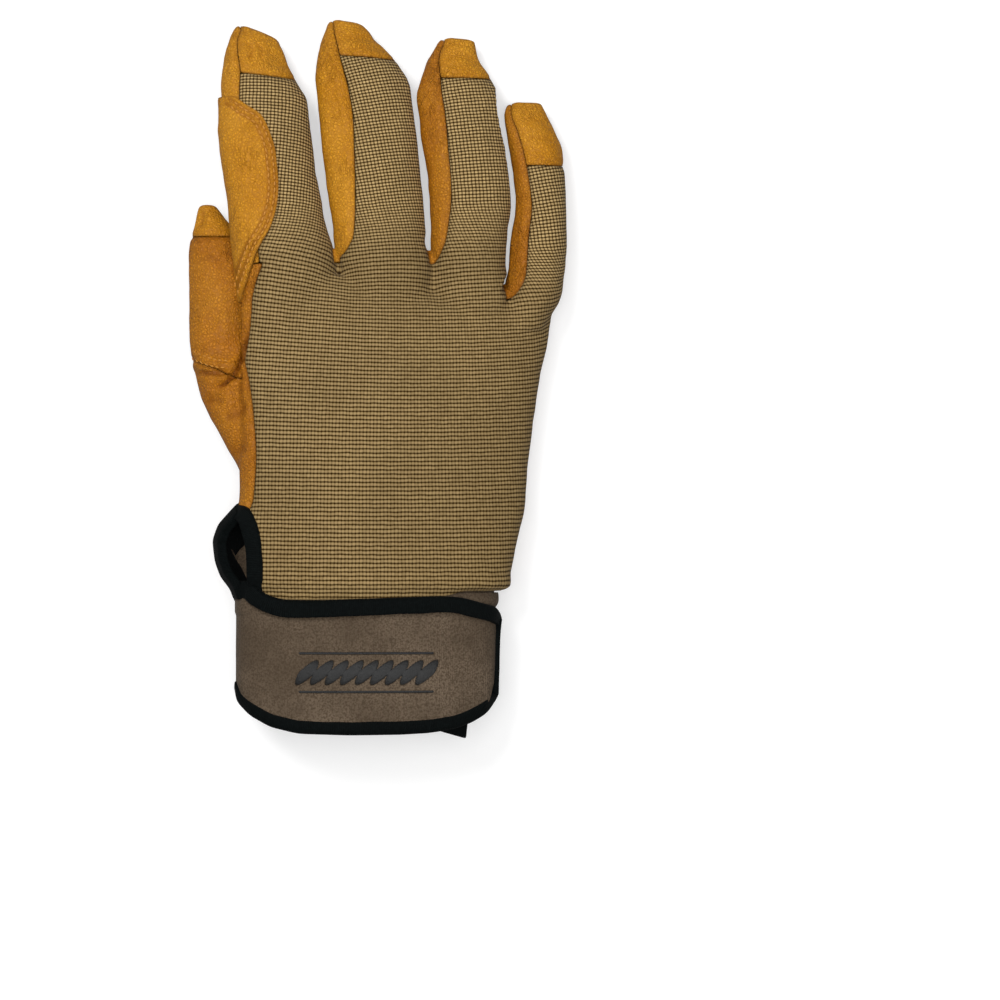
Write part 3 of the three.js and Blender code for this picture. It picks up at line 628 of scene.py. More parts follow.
def strip(part, rows, side, spread):
    """Block along a limb, from and to the shares of its half width given at each row."""
    ats = np.array([row[0] for row in rows])
    lows = np.array([row[1] for row in rows])
    highs = np.array([row[2] for row in rows])
    dense = sorted(set(np.round(np.concatenate([np.linspace(ats[0], ats[-1], 26), ats]), 4)))
    direction = np.sign(part["length"])
    rings = []
    for at in dense:
        held = min(max(at, part["table"]["at"][0]), part["table"]["at"][-1])
        s = section(part, held)
        y0 = part["root"][1] + part["length"] * at
        x0 = s["x"] + part["lean"] * (at - held)
        end = -spread if at == dense[0] else spread if at == dense[-1] else 0
        left = smooth_look_up(ats, lows, at) * s["half_wide"] - spread
        right = smooth_look_up(ats, highs, at) * s["half_wide"] + spread
        corners = []
        for across, far_side in ((left, 0), (right, 0), (right, 1), (left, 1)):
            level = s["z"] - across * np.sin(s["roll"])
            y = y0 + s["slant"] * across + end * direction
            z = level + block_height * side if far_side else level - (spread + zone_lap) * side
            dx, dz = apart_by(part, np.array(y))
            corners.append((x0 + across + dx, y, z + dz))
        rings.append(corners)
    return block(rings)


def within(part, zone, spread):
    """The part of a zone that lies in one limb, so that it can't cut the limb beside it."""
    grown = limb_object(part, grow=limb_reach + spread, count=24, steps=10, reach=2)
    grown.data.materials.clear()
    grown.data.materials.append(cut_paint)
    return cut(zone, grown, "INTERSECT")


print("cutter ready")

# %% Seam tables
wide = 1.3
for part, at in zip(fingers, (0.865, 0.894, 0.873, 0.737)):
    part["cap"] = at
# share along the finger, thumb-side edge of the cloth on the back, the two seams on the front
seams = {
    "index": [
        (0.22, -0.53, 0.62), (0.5, -0.56, 0.68), (0.78, -0.57, 0.7),
        (0.87, -0.5, 0.76), (0.93, -0.62, 0.82), (1.0, -0.84, 0.86),
    ],
    "middle": [
        (0.22, -0.97, 0.62), (0.245, -0.78, 0.64), (0.29, -0.58, 0.66), (0.42, -0.42, 0.68),
        (0.58, -0.33, 0.68), (0.7, -0.28, 0.7), (0.8, -0.33, 0.72), (0.89, -0.42, 0.78),
        (0.95, -0.56, 0.84), (1.0, -0.84, 0.86),
    ],
    "ring": [
        (0.21, -0.97, 0.62), (0.245, -0.79, 0.64), (0.3, -0.62, 0.66), (0.42, -0.5, 0.68),
        (0.58, -0.42, 0.68), (0.76, -0.37, 0.7), (0.87, -0.45, 0.78), (0.93, -0.6, 0.84),
        (1.0, -0.84, 0.86),
    ],
    "little": [
        (0.135, -0.9, 0.62), (0.17, -0.6, 0.64), (0.25, -0.38, 0.66), (0.5, -0.38, 0.66),
        (0.73, -0.47, 0.7), (0.9, -0.58, 0.78), (1.0, -0.82, 0.86),
    ],
}
forks = [
    ("index_middle_gusset", index, middle, 0.23, 0.205),
    ("middle_ring_gusset", middle, ring, 0.205, 0.215),
    ("ring_little_gusset", ring, little, 0.09, 0.13),
]
fork_loop = 3.2
cloth_edge = [
    (-0.06, -0.84), (0.0, -0.83), (0.05, -0.78), (0.104, -0.75), (0.17, -0.735),
    (0.22, -0.79), (0.265, -0.87), (0.3, -0.885), (0.42, -0.87), (0.56, -0.89),
    (0.68, -0.925), (0.75, -0.957), (0.83, -0.935), (0.93, -0.915), (1.1, -0.905),
]
web_bottom = 0.755
crescent_back = [
    (0.09, -0.98), (0.18, -0.74), (0.27, -0.5), (0.34, -0.2), (0.41, 0.0), (0.5, 0.13),
    (0.6, 0.16), (0.67, 0.07), (0.72, -0.08), (0.755, -0.4), (0.785, -0.62),
]
crescent_front = [(0.09, -0.4), (0.3, -0.3), (0.44, -0.36), (0.57, -0.6), (0.69, -0.98)]
patch_edge = [(0.315, -0.33, 0.93), (0.58, -0.31, 0.95), (0.92, -0.46, 0.95)]
patch_tongues = [(index, -0.02, 0.36), (middle, -0.02, 0.37), (ring, -0.02, 0.4)]
tongue_half = 0.56
thumb_seam = (-0.34, -0.06, 0.74)
thumb_cap = 0.91
thumb_side = 0.48
oval = [
    (0.04, -0.45, 0.36), (0.14, -0.62, 0.5), (0.3, -0.8, 0.44), (0.48, -0.86, 0.26),
    (0.64, -0.86, 0.1), (0.74, -0.8, -0.04), (0.8, -0.6, -0.3),
]
slit_spots = [
    (262, 592), (262, 578), (261.5, 560), (260, 540), (256.5, 525), (252, 515), (246, 508.5), (238.5, 505.5),
    (231, 507), (224, 513.5), (217, 525), (212, 540), (213.5, 560), (220, 575), (227, 587), (234, 597),
]
slit_line = [photo(*spot) for spot in slit_spots]


def seam_at(part, at, column):
    table = np.array(seams[part["name"]])
    return float(np.interp(at, table[:, 0], table[:, column]))


def upward(part, start):
    rows = [(start, seam_at(part, start, 1), seam_at(part, start, 2))]
    rows += [row for row in seams[part["name"]] if row[0] > start + 0.01]
    return rows + [(1.15, -0.86, 0.86)]


# %% Zones of the panels
def fork_zone(fork, spread):
    name, near, far_finger, near_at, far_at = fork
    far_rows = upward(far_finger, far_at)
    near_rows = upward(near, near_at)
    back = strip(far_finger, [(a, -wide, b) for a, b, c in far_rows], 1, spread)
    front = strip(far_finger, [(a, -wide, -c) for a, b, c in far_rows], -1, spread)
    side = strip(near, [(a, c, wide) for a, b, c in near_rows], -1, spread)
    blocks = [
        within(far_finger, back, spread),
        within(far_finger, front, spread),
        within(near, side, spread),
    ]
    a = section(near, near_at)
    b = section(far_finger, far_at)
    crotch = max(a["y"], b["y"])
    left = a["x"] + 0.62 * a["half_wide"] - spread
    right = b["x"] - 0.62 * b["half_wide"] + spread
    level = (a["z"] + b["z"]) / 2
    blocks.append(box_block(left, right, crotch - fork_loop - spread, crotch + 5, -5, level - 1 + spread))
    return union(blocks)


def index_side_zone(spread):
    rows = seams["index"] + [(1.15, -0.86, 0.86)]
    back = strip(index, [(a, -wide, b) for a, b, c in rows], 1, spread)
    front = strip(index, [(a, -wide, -c) for a, b, c in rows], -1, spread)
    return union([within(index, back, spread), within(index, front, spread)])


def cap_zone(part, spread):
    rows = [(part["cap"], seam_at(part, part["cap"], 1), wide)]
    rows += [(a, b, wide) for a, b, c in seams[part["name"]] if a > part["cap"] + 0.01]
    rows.append((1.15, -1.2, wide))
    return within(part, strip(part, rows, 1, spread), spread)


def thumb_zone(rows, side, spread):
    return within(thumb, strip(thumb, rows, side, spread), spread)


def thumb_side_zone(spread):
    """The thumb's upper leather ends at a seam that slants across the thumb's root."""
    seam = [photo(*spot) for spot in ((165, 354), (190, 359), (232, 374), (262, 384))]
    low = [(x - 1.5, y - spread) for x, y in seam]
    outline = low + [(low[-1][0], 100), (low[0][0], 100)]
    upper = thumb_zone([(thumb_side - 0.12, -1.4, 1.4), (thumb_cap, -1.4, 1.4)], 1, spread)
    return cut(upper, prism(outline, -60.0, 90.0), "INTERSECT")


def back_zone(spread):
    hand_back = strip(palm, [(a, b, wide) for a, b in cloth_edge], 1, spread)
    backs = []
    for part in fingers:
        rows = [(a, b, wide) for a, b, c in seams[part["name"]]]
        if part is not index:
            rows = [(0.02, rows[0][1], wide)] + rows
        backs.append(within(part, strip(part, rows, 1, spread), spread))
    return union([hand_back] + backs)


def web_zone(spread):
    top = section(index, 0.22)["y"]
    bottom = section(palm, web_bottom)["y"]
    band = box_block(-200, 200, bottom - spread, top + spread, -200, 200)
    side = strip(palm, [(web_bottom - 0.02, -1.4, -0.5), (1.25, -1.4, -0.5)], 1, spread)
    return cut(side, band, "INTERSECT")


def heel_zone(spread):
    seam_from, low, high = thumb_seam
    return union([
        strip(palm, [(low, -1.5, seam_from), (high, -1.5, seam_from)], -1, spread),
        strip(palm, [(low, -1.5, -0.5), (web_bottom, -1.5, -0.5)], 1, spread),
        thumb_zone([(-0.02, -1.4, 1.4), (1.15, -1.4, 1.4)], -1, spread),
        thumb_zone([(-0.02, -1.4, 1.4), (1.15, -1.4, 1.4)], 1, spread),
    ])


# %% Cut the panels
def copy_of(obj, name):
    return link(name, obj.data.copy())


def drop_cut_faces(obj):
    """Leaves only the faces of the skin, without loose crumbs."""
    names = [m.name if m else "" for m in obj.data.materials]
    bm = bmesh.new()
    bm.from_mesh(obj.data)
    doomed = [f for f in bm.faces if names[f.material_index].startswith("cut_face")]
    bmesh.ops.delete(bm, geom=doomed, context="FACES")
    bmesh.ops.remove_doubles(bm, verts=bm.verts, dist=0.02 * mm)
    bm.verts.ensure_lookup_table()
    seen = set()
    islands = []
    for vert in bm.verts:
        if vert in seen:
            continue
        stack, island = [vert], []
        seen.add(vert)
        while stack:
            v = stack.pop()
            island.append(v)
            for e in v.link_edges:
                other = e.other_vert(v)
                if other not in seen:
                    seen.add(other)
                    stack.append(other)
        islands.append(island)
    islands.sort(key=len, reverse=True)
    for island in islands[1:]:
        bmesh.ops.delete(bm, geom=island, context="VERTS")
    bmesh.ops.dissolve_degenerate(bm, dist=0.05 * mm, edges=bm.edges)
    for _ in range(4):
        places = {}
        for vert in bm.verts:
            along = [e.other_vert(vert).co for e in vert.link_edges if e.is_boundary]
            if len(along) == 2:
                places[vert] = vert.co * 0.5 + (along[0] + along[1]) * 0.25
        for vert, place in places.items():
            vert.co = place
    bm.to_mesh(obj.data)
    bm.free()
    obj.data.materials.clear()


def slit_block(inset):
    """The opening beside the wrist, smaller than its tape by inset millimetres."""
    line = [tuple(p) for p in beside(slit_line, inset)]
    outline = [(line[0][0], -200)] + line + [(line[-1][0], -200)]
    return prism(outline, slit_floor, above_all)


def hem_block(lower, bottom_z):
    """The cloth's hem hangs lower where the strap covers it, and rises at the strap's end."""
    left, bend, right = slit_line[0][0] - 1.5, photo(432, 0)[0], photo(464, 0)[0]
    hem = frame_shift[1] - hem_drop - lower
    outline = [(left, hem), (bend, hem), (right, frame_shift[1] + seam_gap), (right, 50), (left, 50)]
    return prism(outline, bottom_z, 100)


rest = copy_of(skin, "rest")
wrist_top = box_block(-200, 200, frame_shift[1] + seam_gap, 200, -200, 200)
cut(rest, union([wrist_top, hem_block(0.0, 14.0)]), "INTERSECT")
cut(rest, slit_block(slit_inset), "DIFFERENCE")
outer_line = [tuple(p) for p in beside(slit_line, 1.2)][8:]
beyond = [(-120, outer_line[0][1])] + outer_line + [(-120, outer_line[-1][1])]
cut(rest, prism(beyond, below_all, above_all), "DIFFERENCE")
# A near-black sheet just inside the skin under the opening: painted shade for the glove's dark inside.
opening_shade_sheet = copy_of(skin, "slit_shade_sheet")
cut(opening_shade_sheet, box_block(-100, -32, frame_shift[1] - 1, photo(0, 484)[1], -20, 80), "INTERSECT")
cut(opening_shade_sheet, slit_block(0.6), "DIFFERENCE")
drop_cut_faces(opening_shade_sheet)
wrist_lining = copy_of(skin, "wrist_lining")
cut(wrist_lining, box_block(-30, 100, frame_shift[1] - 3, frame_shift[1] + 4, -20, 80), "INTERSECT")
drop_cut_faces(wrist_lining)
panels = {}


def take(name, zone):
    piece = copy_of(rest, name)
    cut(piece, zone(0.0), "INTERSECT")
    cut(rest, zone(seam_gap), "DIFFERENCE")
    drop_cut_faces(piece)
    panels[name] = piece
    print(name, len(piece.data.polygons), "faces")


for fork in forks:
    take(fork[0], lambda s, fork=fork: fork_zone(fork, s))
take("index_side_panel", index_side_zone)
for part in fingers:
    take(part["name"] + "_tip_cap", lambda s, part=part: cap_zone(part, s))
take("thumb_tip_cap", lambda s: thumb_zone([(thumb_cap, -1.4, 1.4), (1.2, -1.4, 1.4)], 1, s))
take("thumb_side_panel", thumb_side_zone)
take("thumb_back_panel", lambda s: thumb_zone(oval, -1, s))
take("back_panel", back_zone)
take("web_panel", web_zone)
take("thumb_panel", heel_zone)
panels["palm_panel"] = rest
rest.name = "palm_panel"
drop_cut_faces(rest)
print("palm_panel", len(rest.data.polygons), "faces")
print(len(panels), "panels")


# %% [markdown]
# A sewn edge turns inwards, so the leather dips at each seam and swells a little beside it. The distance
# to the seam and to the stitch rows is kept on each point, where the finishes read it later. Last, the
# limbs are moved back together, and Solidify gives the sheet its thickness on the inside.

# %% Finish a sheet
def border_points(obj):
    bm = bmesh.new()
    bm.from_mesh(obj.data)
    found = []
    for edge in bm.edges:
        if len(edge.link_faces) == 1:
            a, b = (np.array(v.co) / mm for v in edge.verts)
            spots = max(2, int(np.linalg.norm(b - a) / 0.5))
            found += [a + (b - a) * k / spots for k in range(spots)]
    bm.free()
    return np.array(found)


def distance_to(cloud, points, reach=12.0):
    tree = kdtree.KDTree(len(cloud))
    for k, p in enumerate(cloud):
        tree.insert(p, k)
    tree.balance()
    return np.array([min(tree.find(p)[2], reach) for p in points])


def keep_value(obj, name, values):
    layer = obj.data.attributes.get(name) or obj.data.attributes.new(name, "FLOAT", "POINT")
    layer.data.foreach_set("value", values.astype(np.float32))


def give_wall(obj, wall, normals=None):
    only(obj)
    modifier = obj.modifiers.new("wall", "SOLIDIFY")
    modifier.thickness = wall * mm
    modifier.offset = -1
    modifier.use_rim = True
    bpy.ops.object.modifier_apply(modifier="wall")
    points = read_points(obj)
    if normals is not None and len(points) == 2 * len(normals):
        points[len(normals):] = points[:len(normals)] - normals * wall
        write_points(obj, points)
    bpy.ops.object.shade_smooth_by_angle(angle=math.radians(58))


seam_puff_at, seam_puff_width = 2.6, 1.4
row_dip, row_width = 0.28, 0.8
no_row = 9.0


def finish_sheet(
    obj, wall, rows=(), side=-1, pull=0.0, puff=0.0, lift=0.0, apart_now=True, floor=0.0, width=1.1
):
    """Pulls a sheet in at its seams and rows, lays it in its place and gives it its wall."""
    points = read_points(obj)
    normals = normals_of_skin(points) if apart_now else read_normals(obj)
    away = distance_to(border_points(obj), points)
    push = lift - pull * np.exp(-((away / width) ** 2))
    push = push + puff * np.exp(-(((away - seam_puff_at) / seam_puff_width) ** 2))
    lying = together(points) if apart_now else points
    near_row = np.full(len(points), no_row)
    for line in rows:
        gap, _ = line_distance(lying, line)
        near_row = np.minimum(near_row, np.where(side * normals[:, 2] > 0.1, gap, no_row))
    push = push - row_dip * np.exp(-((near_row / row_width) ** 2))
    points = points + normals * push[:, None]
    if apart_now:
        points = together(points)
    points[:, 2] = np.maximum(points[:, 2], floor)
    write_points(obj, points)
    keep_value(obj, "seam", away)
    keep_value(obj, "row", near_row)
    if wall:
        give_wall(obj, wall, normals if apart_now else None)
    return obj


# %% [markdown]
# The ribbed cloth is woven flat and then cut, so its ribs run with the cloth and not with the room. The
# sheet is unwrapped by its angles, as if it were laid flat again, and the map is turned and scaled so that
# one unit is one millimetre of cloth. On a finger the ribs turn with the finger.

# %% Lay the cloth flat
def lay_flat(obj, across_sign=1):
    only(obj)
    bpy.ops.object.mode_set(mode="EDIT")
    bpy.ops.mesh.select_all(action="SELECT")
    bpy.ops.uv.unwrap(method="ANGLE_BASED", margin=0)
    bpy.ops.object.mode_set(mode="OBJECT")
    mesh = obj.data
    layer = mesh.uv_layers.active
    layer.name = "weave"
    uv = np.zeros(len(mesh.loops) * 2)
    layer.data.foreach_get("uv", uv)
    uv = uv.reshape(-1, 2)
    corner = np.zeros(len(mesh.loops), int)
    mesh.loops.foreach_get("vertex_index", corner)
    points = together(read_points(obj))[corner]
    flat = uv[:, 0] + 1j * uv[:, 1]
    aim = across_sign * points[:, 0] + 1j * points[:, 1]
    centre_flat, centre_aim = flat.mean(), aim.mean()
    turn = np.vdot(flat - centre_flat, aim - centre_aim) / np.vdot(flat - centre_flat, flat - centre_flat)
    area = sum(p.area for p in mesh.polygons) / mm**2
    flat_area = 0.0
    for p in mesh.polygons:
        ring_uv = uv[list(p.loop_indices)]
        x, y = ring_uv[:, 0], ring_uv[:, 1]
        flat_area += abs(np.dot(x, np.roll(y, -1)) - np.dot(y, np.roll(x, -1))) / 2
    scale = math.sqrt(area / flat_area)
    cloth = (flat - centre_flat) * turn / abs(turn) * scale + centre_aim
    u, v = cloth.real.copy(), cloth.imag.copy()
    finger_share = np.zeros(len(points))
    if across_sign > 0:
        axes = [section(f, np.clip((points[:, 1] - f["root"][1]) / f["length"], 0, 1))["x"] for f in fingers]
        away = np.array([np.abs(points[:, 0] - axis) / f["width"] for f, axis in zip(fingers, axes)])
        nearest = away.argmin(0)
        for number, part in enumerate(fingers):
            start = fork_start[part["name"]] + frame_shift[1]
            axis = axes[number]
            near = nearest == number
            on_finger = ramp(points[:, 1], start, 22) * near
            slope = part["lean"] / part["length"]
            v = v + on_finger * slope * (points[:, 0] - axis)
            v = v + on_finger * 0.3 * np.clip(points[:, 1] - start, 0, None)
            u = u - on_finger * slope * np.clip(points[:, 1] - start, 0, None)
            finger_share = np.maximum(finger_share, on_finger)
    share_of_point = np.zeros(len(mesh.vertices))
    share_of_point[corner] = finger_share
    keep_value(obj, "finger", share_of_point)
    layer.data.foreach_set("uv", np.stack([u, v], 1).ravel())
    print(obj.name, "cloth laid flat,", round(area / 100, 1), "square centimetres, scale", round(scale, 1))


# %% [markdown]
# Double rows of stitches hold the patch on the palm and cross over it. Each row is a short line of points
# read from the two views. The same line dips the leather and later carries the thread.

# %% Stitch rows
def double(line, gap):
    return [beside(line, -gap / 2), beside(line, gap / 2)]


row_gap, base_gap = 2.2, 2.0
patch_lines = [
    # two rows that cross, and the row along the lower edge
    (row_gap, [(500, 612), (535, 606), (570, 597), (640, 576), (707, 557)]),
    (row_gap, [(515, 553), (545, 570), (570, 590), (600, 620), (640, 650), (675, 673)]),
    (row_gap, [(486, 714), (560, 719), (671, 715)]),
    # the roots of the ring, middle and index finger
    (base_gap, [(553, 443), (577, 441), (601, 443)]),
    (base_gap, [(643, 443), (671, 441), (699, 445)]),
    (base_gap, [(733, 455), (752, 457), (770, 455)]),
]
patch_rows = []
for gap, line in patch_lines:
    patch_rows += double([palm_view(*spot) for spot in line], gap)
heel_ridge = [photo(191, 354), photo(202, 359), photo(216, 363.5), photo(229, 365)]
crescent_line = []
crescent_ats, crescent_shares = zip(*crescent_back)
for at in np.linspace(crescent_ats[0], crescent_ats[-1], 40):
    s = section(index, at)
    across = float(smooth_look_up(crescent_ats, crescent_shares, at)) * (s["half_wide"] + 1.5)
    crescent_line.append((s["x"] + across * math.cos(s["roll"]), s["y"]))
crescent_rows = [beside(crescent_line, 1.3), beside(crescent_line, 3.2)]
oval_rim = []
for out in (1.6, 3.4):
    line = []
    for row in oval:
        s = section(thumb, row[0])
        line.append((s["x"] + row[2] * s["half_wide"] + out, s["y"]))
    oval_rim.append(line)
print(len(patch_rows), "rows on the patch")

# %% Patches over the skin
crescent_zone = union([
    strip(index, [(a, -1.3, b) for a, b in crescent_back], 1, 0),
    strip(index, [(a, -1.3, b) for a, b in crescent_front], -1, 0),
])
crescent = cut(copy_of(skin, "index_side_patch"), within(index, crescent_zone, 0), "INTERSECT")
drop_cut_faces(crescent)
finish_sheet(
    crescent, patch_wall, rows=crescent_rows, side=1, pull=0.35, puff=0.1, lift=under_patch, width=0.8
)
palm_part = strip(palm, patch_edge, -1, 0)
tongue_parts = [
    within(part, strip(part, [(a, -tongue_half, tongue_half), (b, -tongue_half, tongue_half)], -1, 0), 0)
    for part, a, b in patch_tongues
]
patch_zone = union([palm_part] + tongue_parts)
palm_patch = cut(copy_of(skin, "palm_patch"), patch_zone, "INTERSECT")
drop_cut_faces(palm_patch)
finish_sheet(palm_patch, patch_wall, rows=patch_rows, pull=0.3, puff=0.1, lift=under_patch, width=0.9)
print("patches", len(crescent.data.polygons), len(palm_patch.data.polygons))

# %% Finish the panels
for name, piece in panels.items():
    if name in ("back_panel", "thumb_back_panel"):
        lay_flat(piece, 1 if name == "back_panel" else -1)
        finish_sheet(piece, cloth_wall, pull=0.25, puff=0.1, floor=0.02, width=0.9)
    elif name.endswith("cap"):
        finish_sheet(piece, leather_wall, pull=0.35, puff=0.25, lift=0.1, floor=0.02, width=0.7)
    else:
        rows = oval_rim if name == "thumb_panel" else ()
        finish_sheet(piece, leather_wall, rows=rows, pull=0.5, puff=0.25, floor=0.02, width=0.9)
for piece in (opening_shade_sheet, wrist_lining):
    finish_sheet(piece, lining_wall, lift=-leather_wall - seam_gap)
print("panels finished")

# %% [markdown]
# The cuff is a foam-cloth tube. Its long end is the strap, which comes round the thumb side and closes over
# the back. Both are cut from the cuff's own loft at two distances, so that the strap lies on the cuff.

# %% Cuff and strap
def cuff_form(grow, low=0.0, high=1.0, count=128, steps=60, narrow_from=0.0):
    rings = []
    for at in np.linspace(low, high, steps):
        shaped = max(at, narrow_from)
        rings.append(ring_points(cuff, shaped, grow, count, cuff["length"] * (at - shaped)))
    obj = extrude_loft("cuff_form", rings)
    obj.data.materials.append(skin_paint)
    obj.data.materials.append(cut_paint)
    for face in obj.data.polygons:
        if abs(face.normal.y) > 0.9:
            face.material_index = 1
    return obj


wrist = frame_shift[1]
band_length = 36.2
hem_tape = 4.2
strap_lift = 0.8
taper_end = 0.13
tab = {"x": 0.5 + frame_shift[0], "width": 27.5, "length": 35, "down": 17, "wide": 15.8, "tall": 17.4}
tab_row_inset = 2.6
hole_row_gap = 2.3


def hole_block():
    angle = np.arange(48) / 48 * 2 * np.pi
    x = tab["x"] + tab["wide"] / 2 * np.cos(angle)
    y = wrist - tab["down"] + tab["tall"] / 2 * np.sin(angle)
    return prism(zip(x, y), -5.0, 16.0)


cuff_band = cuff_form(0, 0.003, band_length / 53)
cut(cuff_band, hole_block(), "DIFFERENCE")
slot_x = -35 + frame_shift[0]
cut(cuff_band, box_block(slot_x - 1.5, slot_x + 1.5, -200, 0, 16, above_all), "DIFFERENCE")
cut(cuff_band, hem_block(seam_gap, 13.5), "DIFFERENCE")
cuff_band.name = "cuff_band"
drop_cut_faces(cuff_band)
finish_sheet(cuff_band, cuff_wall, pull=0.1, apart_now=False, floor=under_patch)

strap_edge = [
    (262, 590), (272, 595.5), (285, 599), (310, 600), (350, 598.5), (400, 597), (440, 595.5), (462, 597),
    (476, 601), (486, 604), (494, 606), (498.5, 613), (499.5, 632), (499, 655), (497.5, 682), (493.5, 700),
    (485, 713), (472, 721), (456, 727), (430, 731), (400, 732.5), (350, 733), (300, 731.5), (272, 725),
    (252, 714), (241, 702), (236, 690),
]


strap_line = beside([photo(x, y) for x, y in strap_edge], -1.2)
strap_left = -75.0
strap_outline = [(strap_left, strap_line[0][1] + 1.5), *strap_line, (strap_left, strap_line[-1][1] - 1.0)]
strap = cuff_form(strap_lift + cuff_wall, 0.0, 1.0, count=200, steps=100, narrow_from=taper_end)
cut(strap, prism(strap_outline, 9.1, above_all), "INTERSECT")
strap.name = "wrist_strap"
drop_cut_faces(strap)
finish_sheet(strap, cuff_wall, apart_now=False)
print("cuff and strap", len(cuff_band.data.polygons), len(strap.data.polygons))

# %% Tab and hem corner
clip_tab = cuff_form(under_patch, 0.006, 0.69)
tab_left, tab_right = tab["x"] - tab["width"] / 2, tab["x"] + tab["width"] / 2
cut(clip_tab, box_block(tab_left, tab_right, wrist - tab["length"], wrist - 0.3, -5, 16), "INTERSECT")
cut(clip_tab, hole_block(), "DIFFERENCE")
clip_tab.name = "clip_tab"
drop_cut_faces(clip_tab)
tab_rows = [
    [(x, wrist - 1.2), (x, wrist - tab["length"] / 2), (x, wrist - tab["length"] + 0.8)]
    for x in (tab_left + tab_row_inset, tab_right - tab_row_inset)
]
ring_angle = np.linspace(0, 2 * np.pi, 41)
hole_row = np.stack([
    tab["x"] + (tab["wide"] / 2 + hole_row_gap) * np.cos(ring_angle),
    wrist - tab["down"] + (tab["tall"] / 2 + hole_row_gap) * np.sin(ring_angle),
], 1)
tab_rows.append(hole_row)
finish_sheet(clip_tab, patch_wall, rows=tab_rows, pull=0.4, puff=0.05, apart_now=False, width=0.8)

flap_top = wrist - band_length - hem_tape - 0.3
flap = [
    (21 + frame_shift[0], flap_top), (21 + frame_shift[0], flap_top - 6.6),
    (31 + frame_shift[0], flap_top - 9.6), (32 + frame_shift[0], flap_top),
]
hem_corner = cuff_form(0, 0.6, 1.0)
cut(hem_corner, prism(flap, 18.0, above_all), "INTERSECT")
hem_corner.name = "hem_corner"
drop_cut_faces(hem_corner)
finish_sheet(hem_corner, leather_wall, pull=0.1, apart_now=False)
print("tab and corner", len(clip_tab.data.polygons), len(hem_corner.data.polygons))


# %% [markdown]
# Binding tape is a woven ribbon folded over an edge and stitched down. One cross-section is swept along each
# edge: round on the fold, flat on both faces, with a step where the ribbon ends. A sweep in code was chosen
# over a curve, because the ribbon has to turn with the surface that it lies on.

# %% Sweep a tape along an edge
def surface_point(part, y, share, side, grow):
    """Point and outward normal of a limb at y, at a share of its half width, above or below."""
    at = (y - part["root"][1]) / part["length"]
    s = section(part, at)
    a, b, power = s["half_wide"] + grow, s["half_deep"] + grow, part["power"]
    share = np.clip(share, -1, 1)
    across = share * a
    up = side * b * (1 - abs(share) ** power) ** (1 / power)
    n_across = np.sign(share) * abs(share) ** (power - 1) / a
    n_up = side * (1 - abs(share) ** power) ** ((power - 1) / power) / b
    c, t = np.cos(s["roll"]), np.sin(s["roll"])
    point = np.array([s["x"] + across * c + up * t, y, s["z"] + up * c - across * t])
    point[2] = max(point[2], part["floor"] - max(grow, 0))
    normal = np.array([n_across * c + n_up * t, 0, n_up * c - n_across * t])
    return point, normal / np.linalg.norm(normal)


def share_at(part, y, x, grow):
    """Share of the half width whose upper surface point lies at x."""
    low, high = -1.0, 1.0
    for _ in range(40):
        mid = (low + high) / 2
        if surface_point(part, y, mid, 1, grow)[0][0] < x:
            low = mid
        else:
            high = mid
    return (low + high) / 2


def tree_of(*objs):
    points, faces = [], []
    for obj in objs:
        start = len(points)
        points += [v.co / mm for v in obj.data.vertices]
        faces += [[start + k for k in p.vertices] for p in obj.data.polygons]
    return bvhtree.BVHTree.FromPolygons(points, faces)


def even_path(points, normals, step, closed, rounds):
    """A softened path with even steps, its normals, and how far along each point lies."""
    points, normals = np.array(points), np.array(normals)
    if closed:
        points = np.vstack([points, points[:1]])
        normals = np.vstack([normals, normals[:1]])
    lengths = np.concatenate([[0], np.cumsum(np.linalg.norm(np.diff(points, axis=0), axis=1))])
    count = max(4, int(lengths[-1] / step))
    places = np.linspace(0, lengths[-1], count + 1)
    if closed:
        places = places[:-1]
    out = np.stack([np.interp(places, lengths, points[:, k]) for k in range(3)], 1)
    turn = np.stack([np.interp(places, lengths, normals[:, k]) for k in range(3)], 1)
    for line in (out, turn):
        for _ in range(rounds):
            softer_line = (np.roll(line, 1, 0) + 2 * line + np.roll(line, -1, 0)) / 4
            if not closed:
                softer_line[[0, -1]] = line[[0, -1]]
            line[:] = softer_line
    turn /= np.linalg.norm(turn, axis=1)[:, None]
    return out, turn, places


tape_step = 0.8


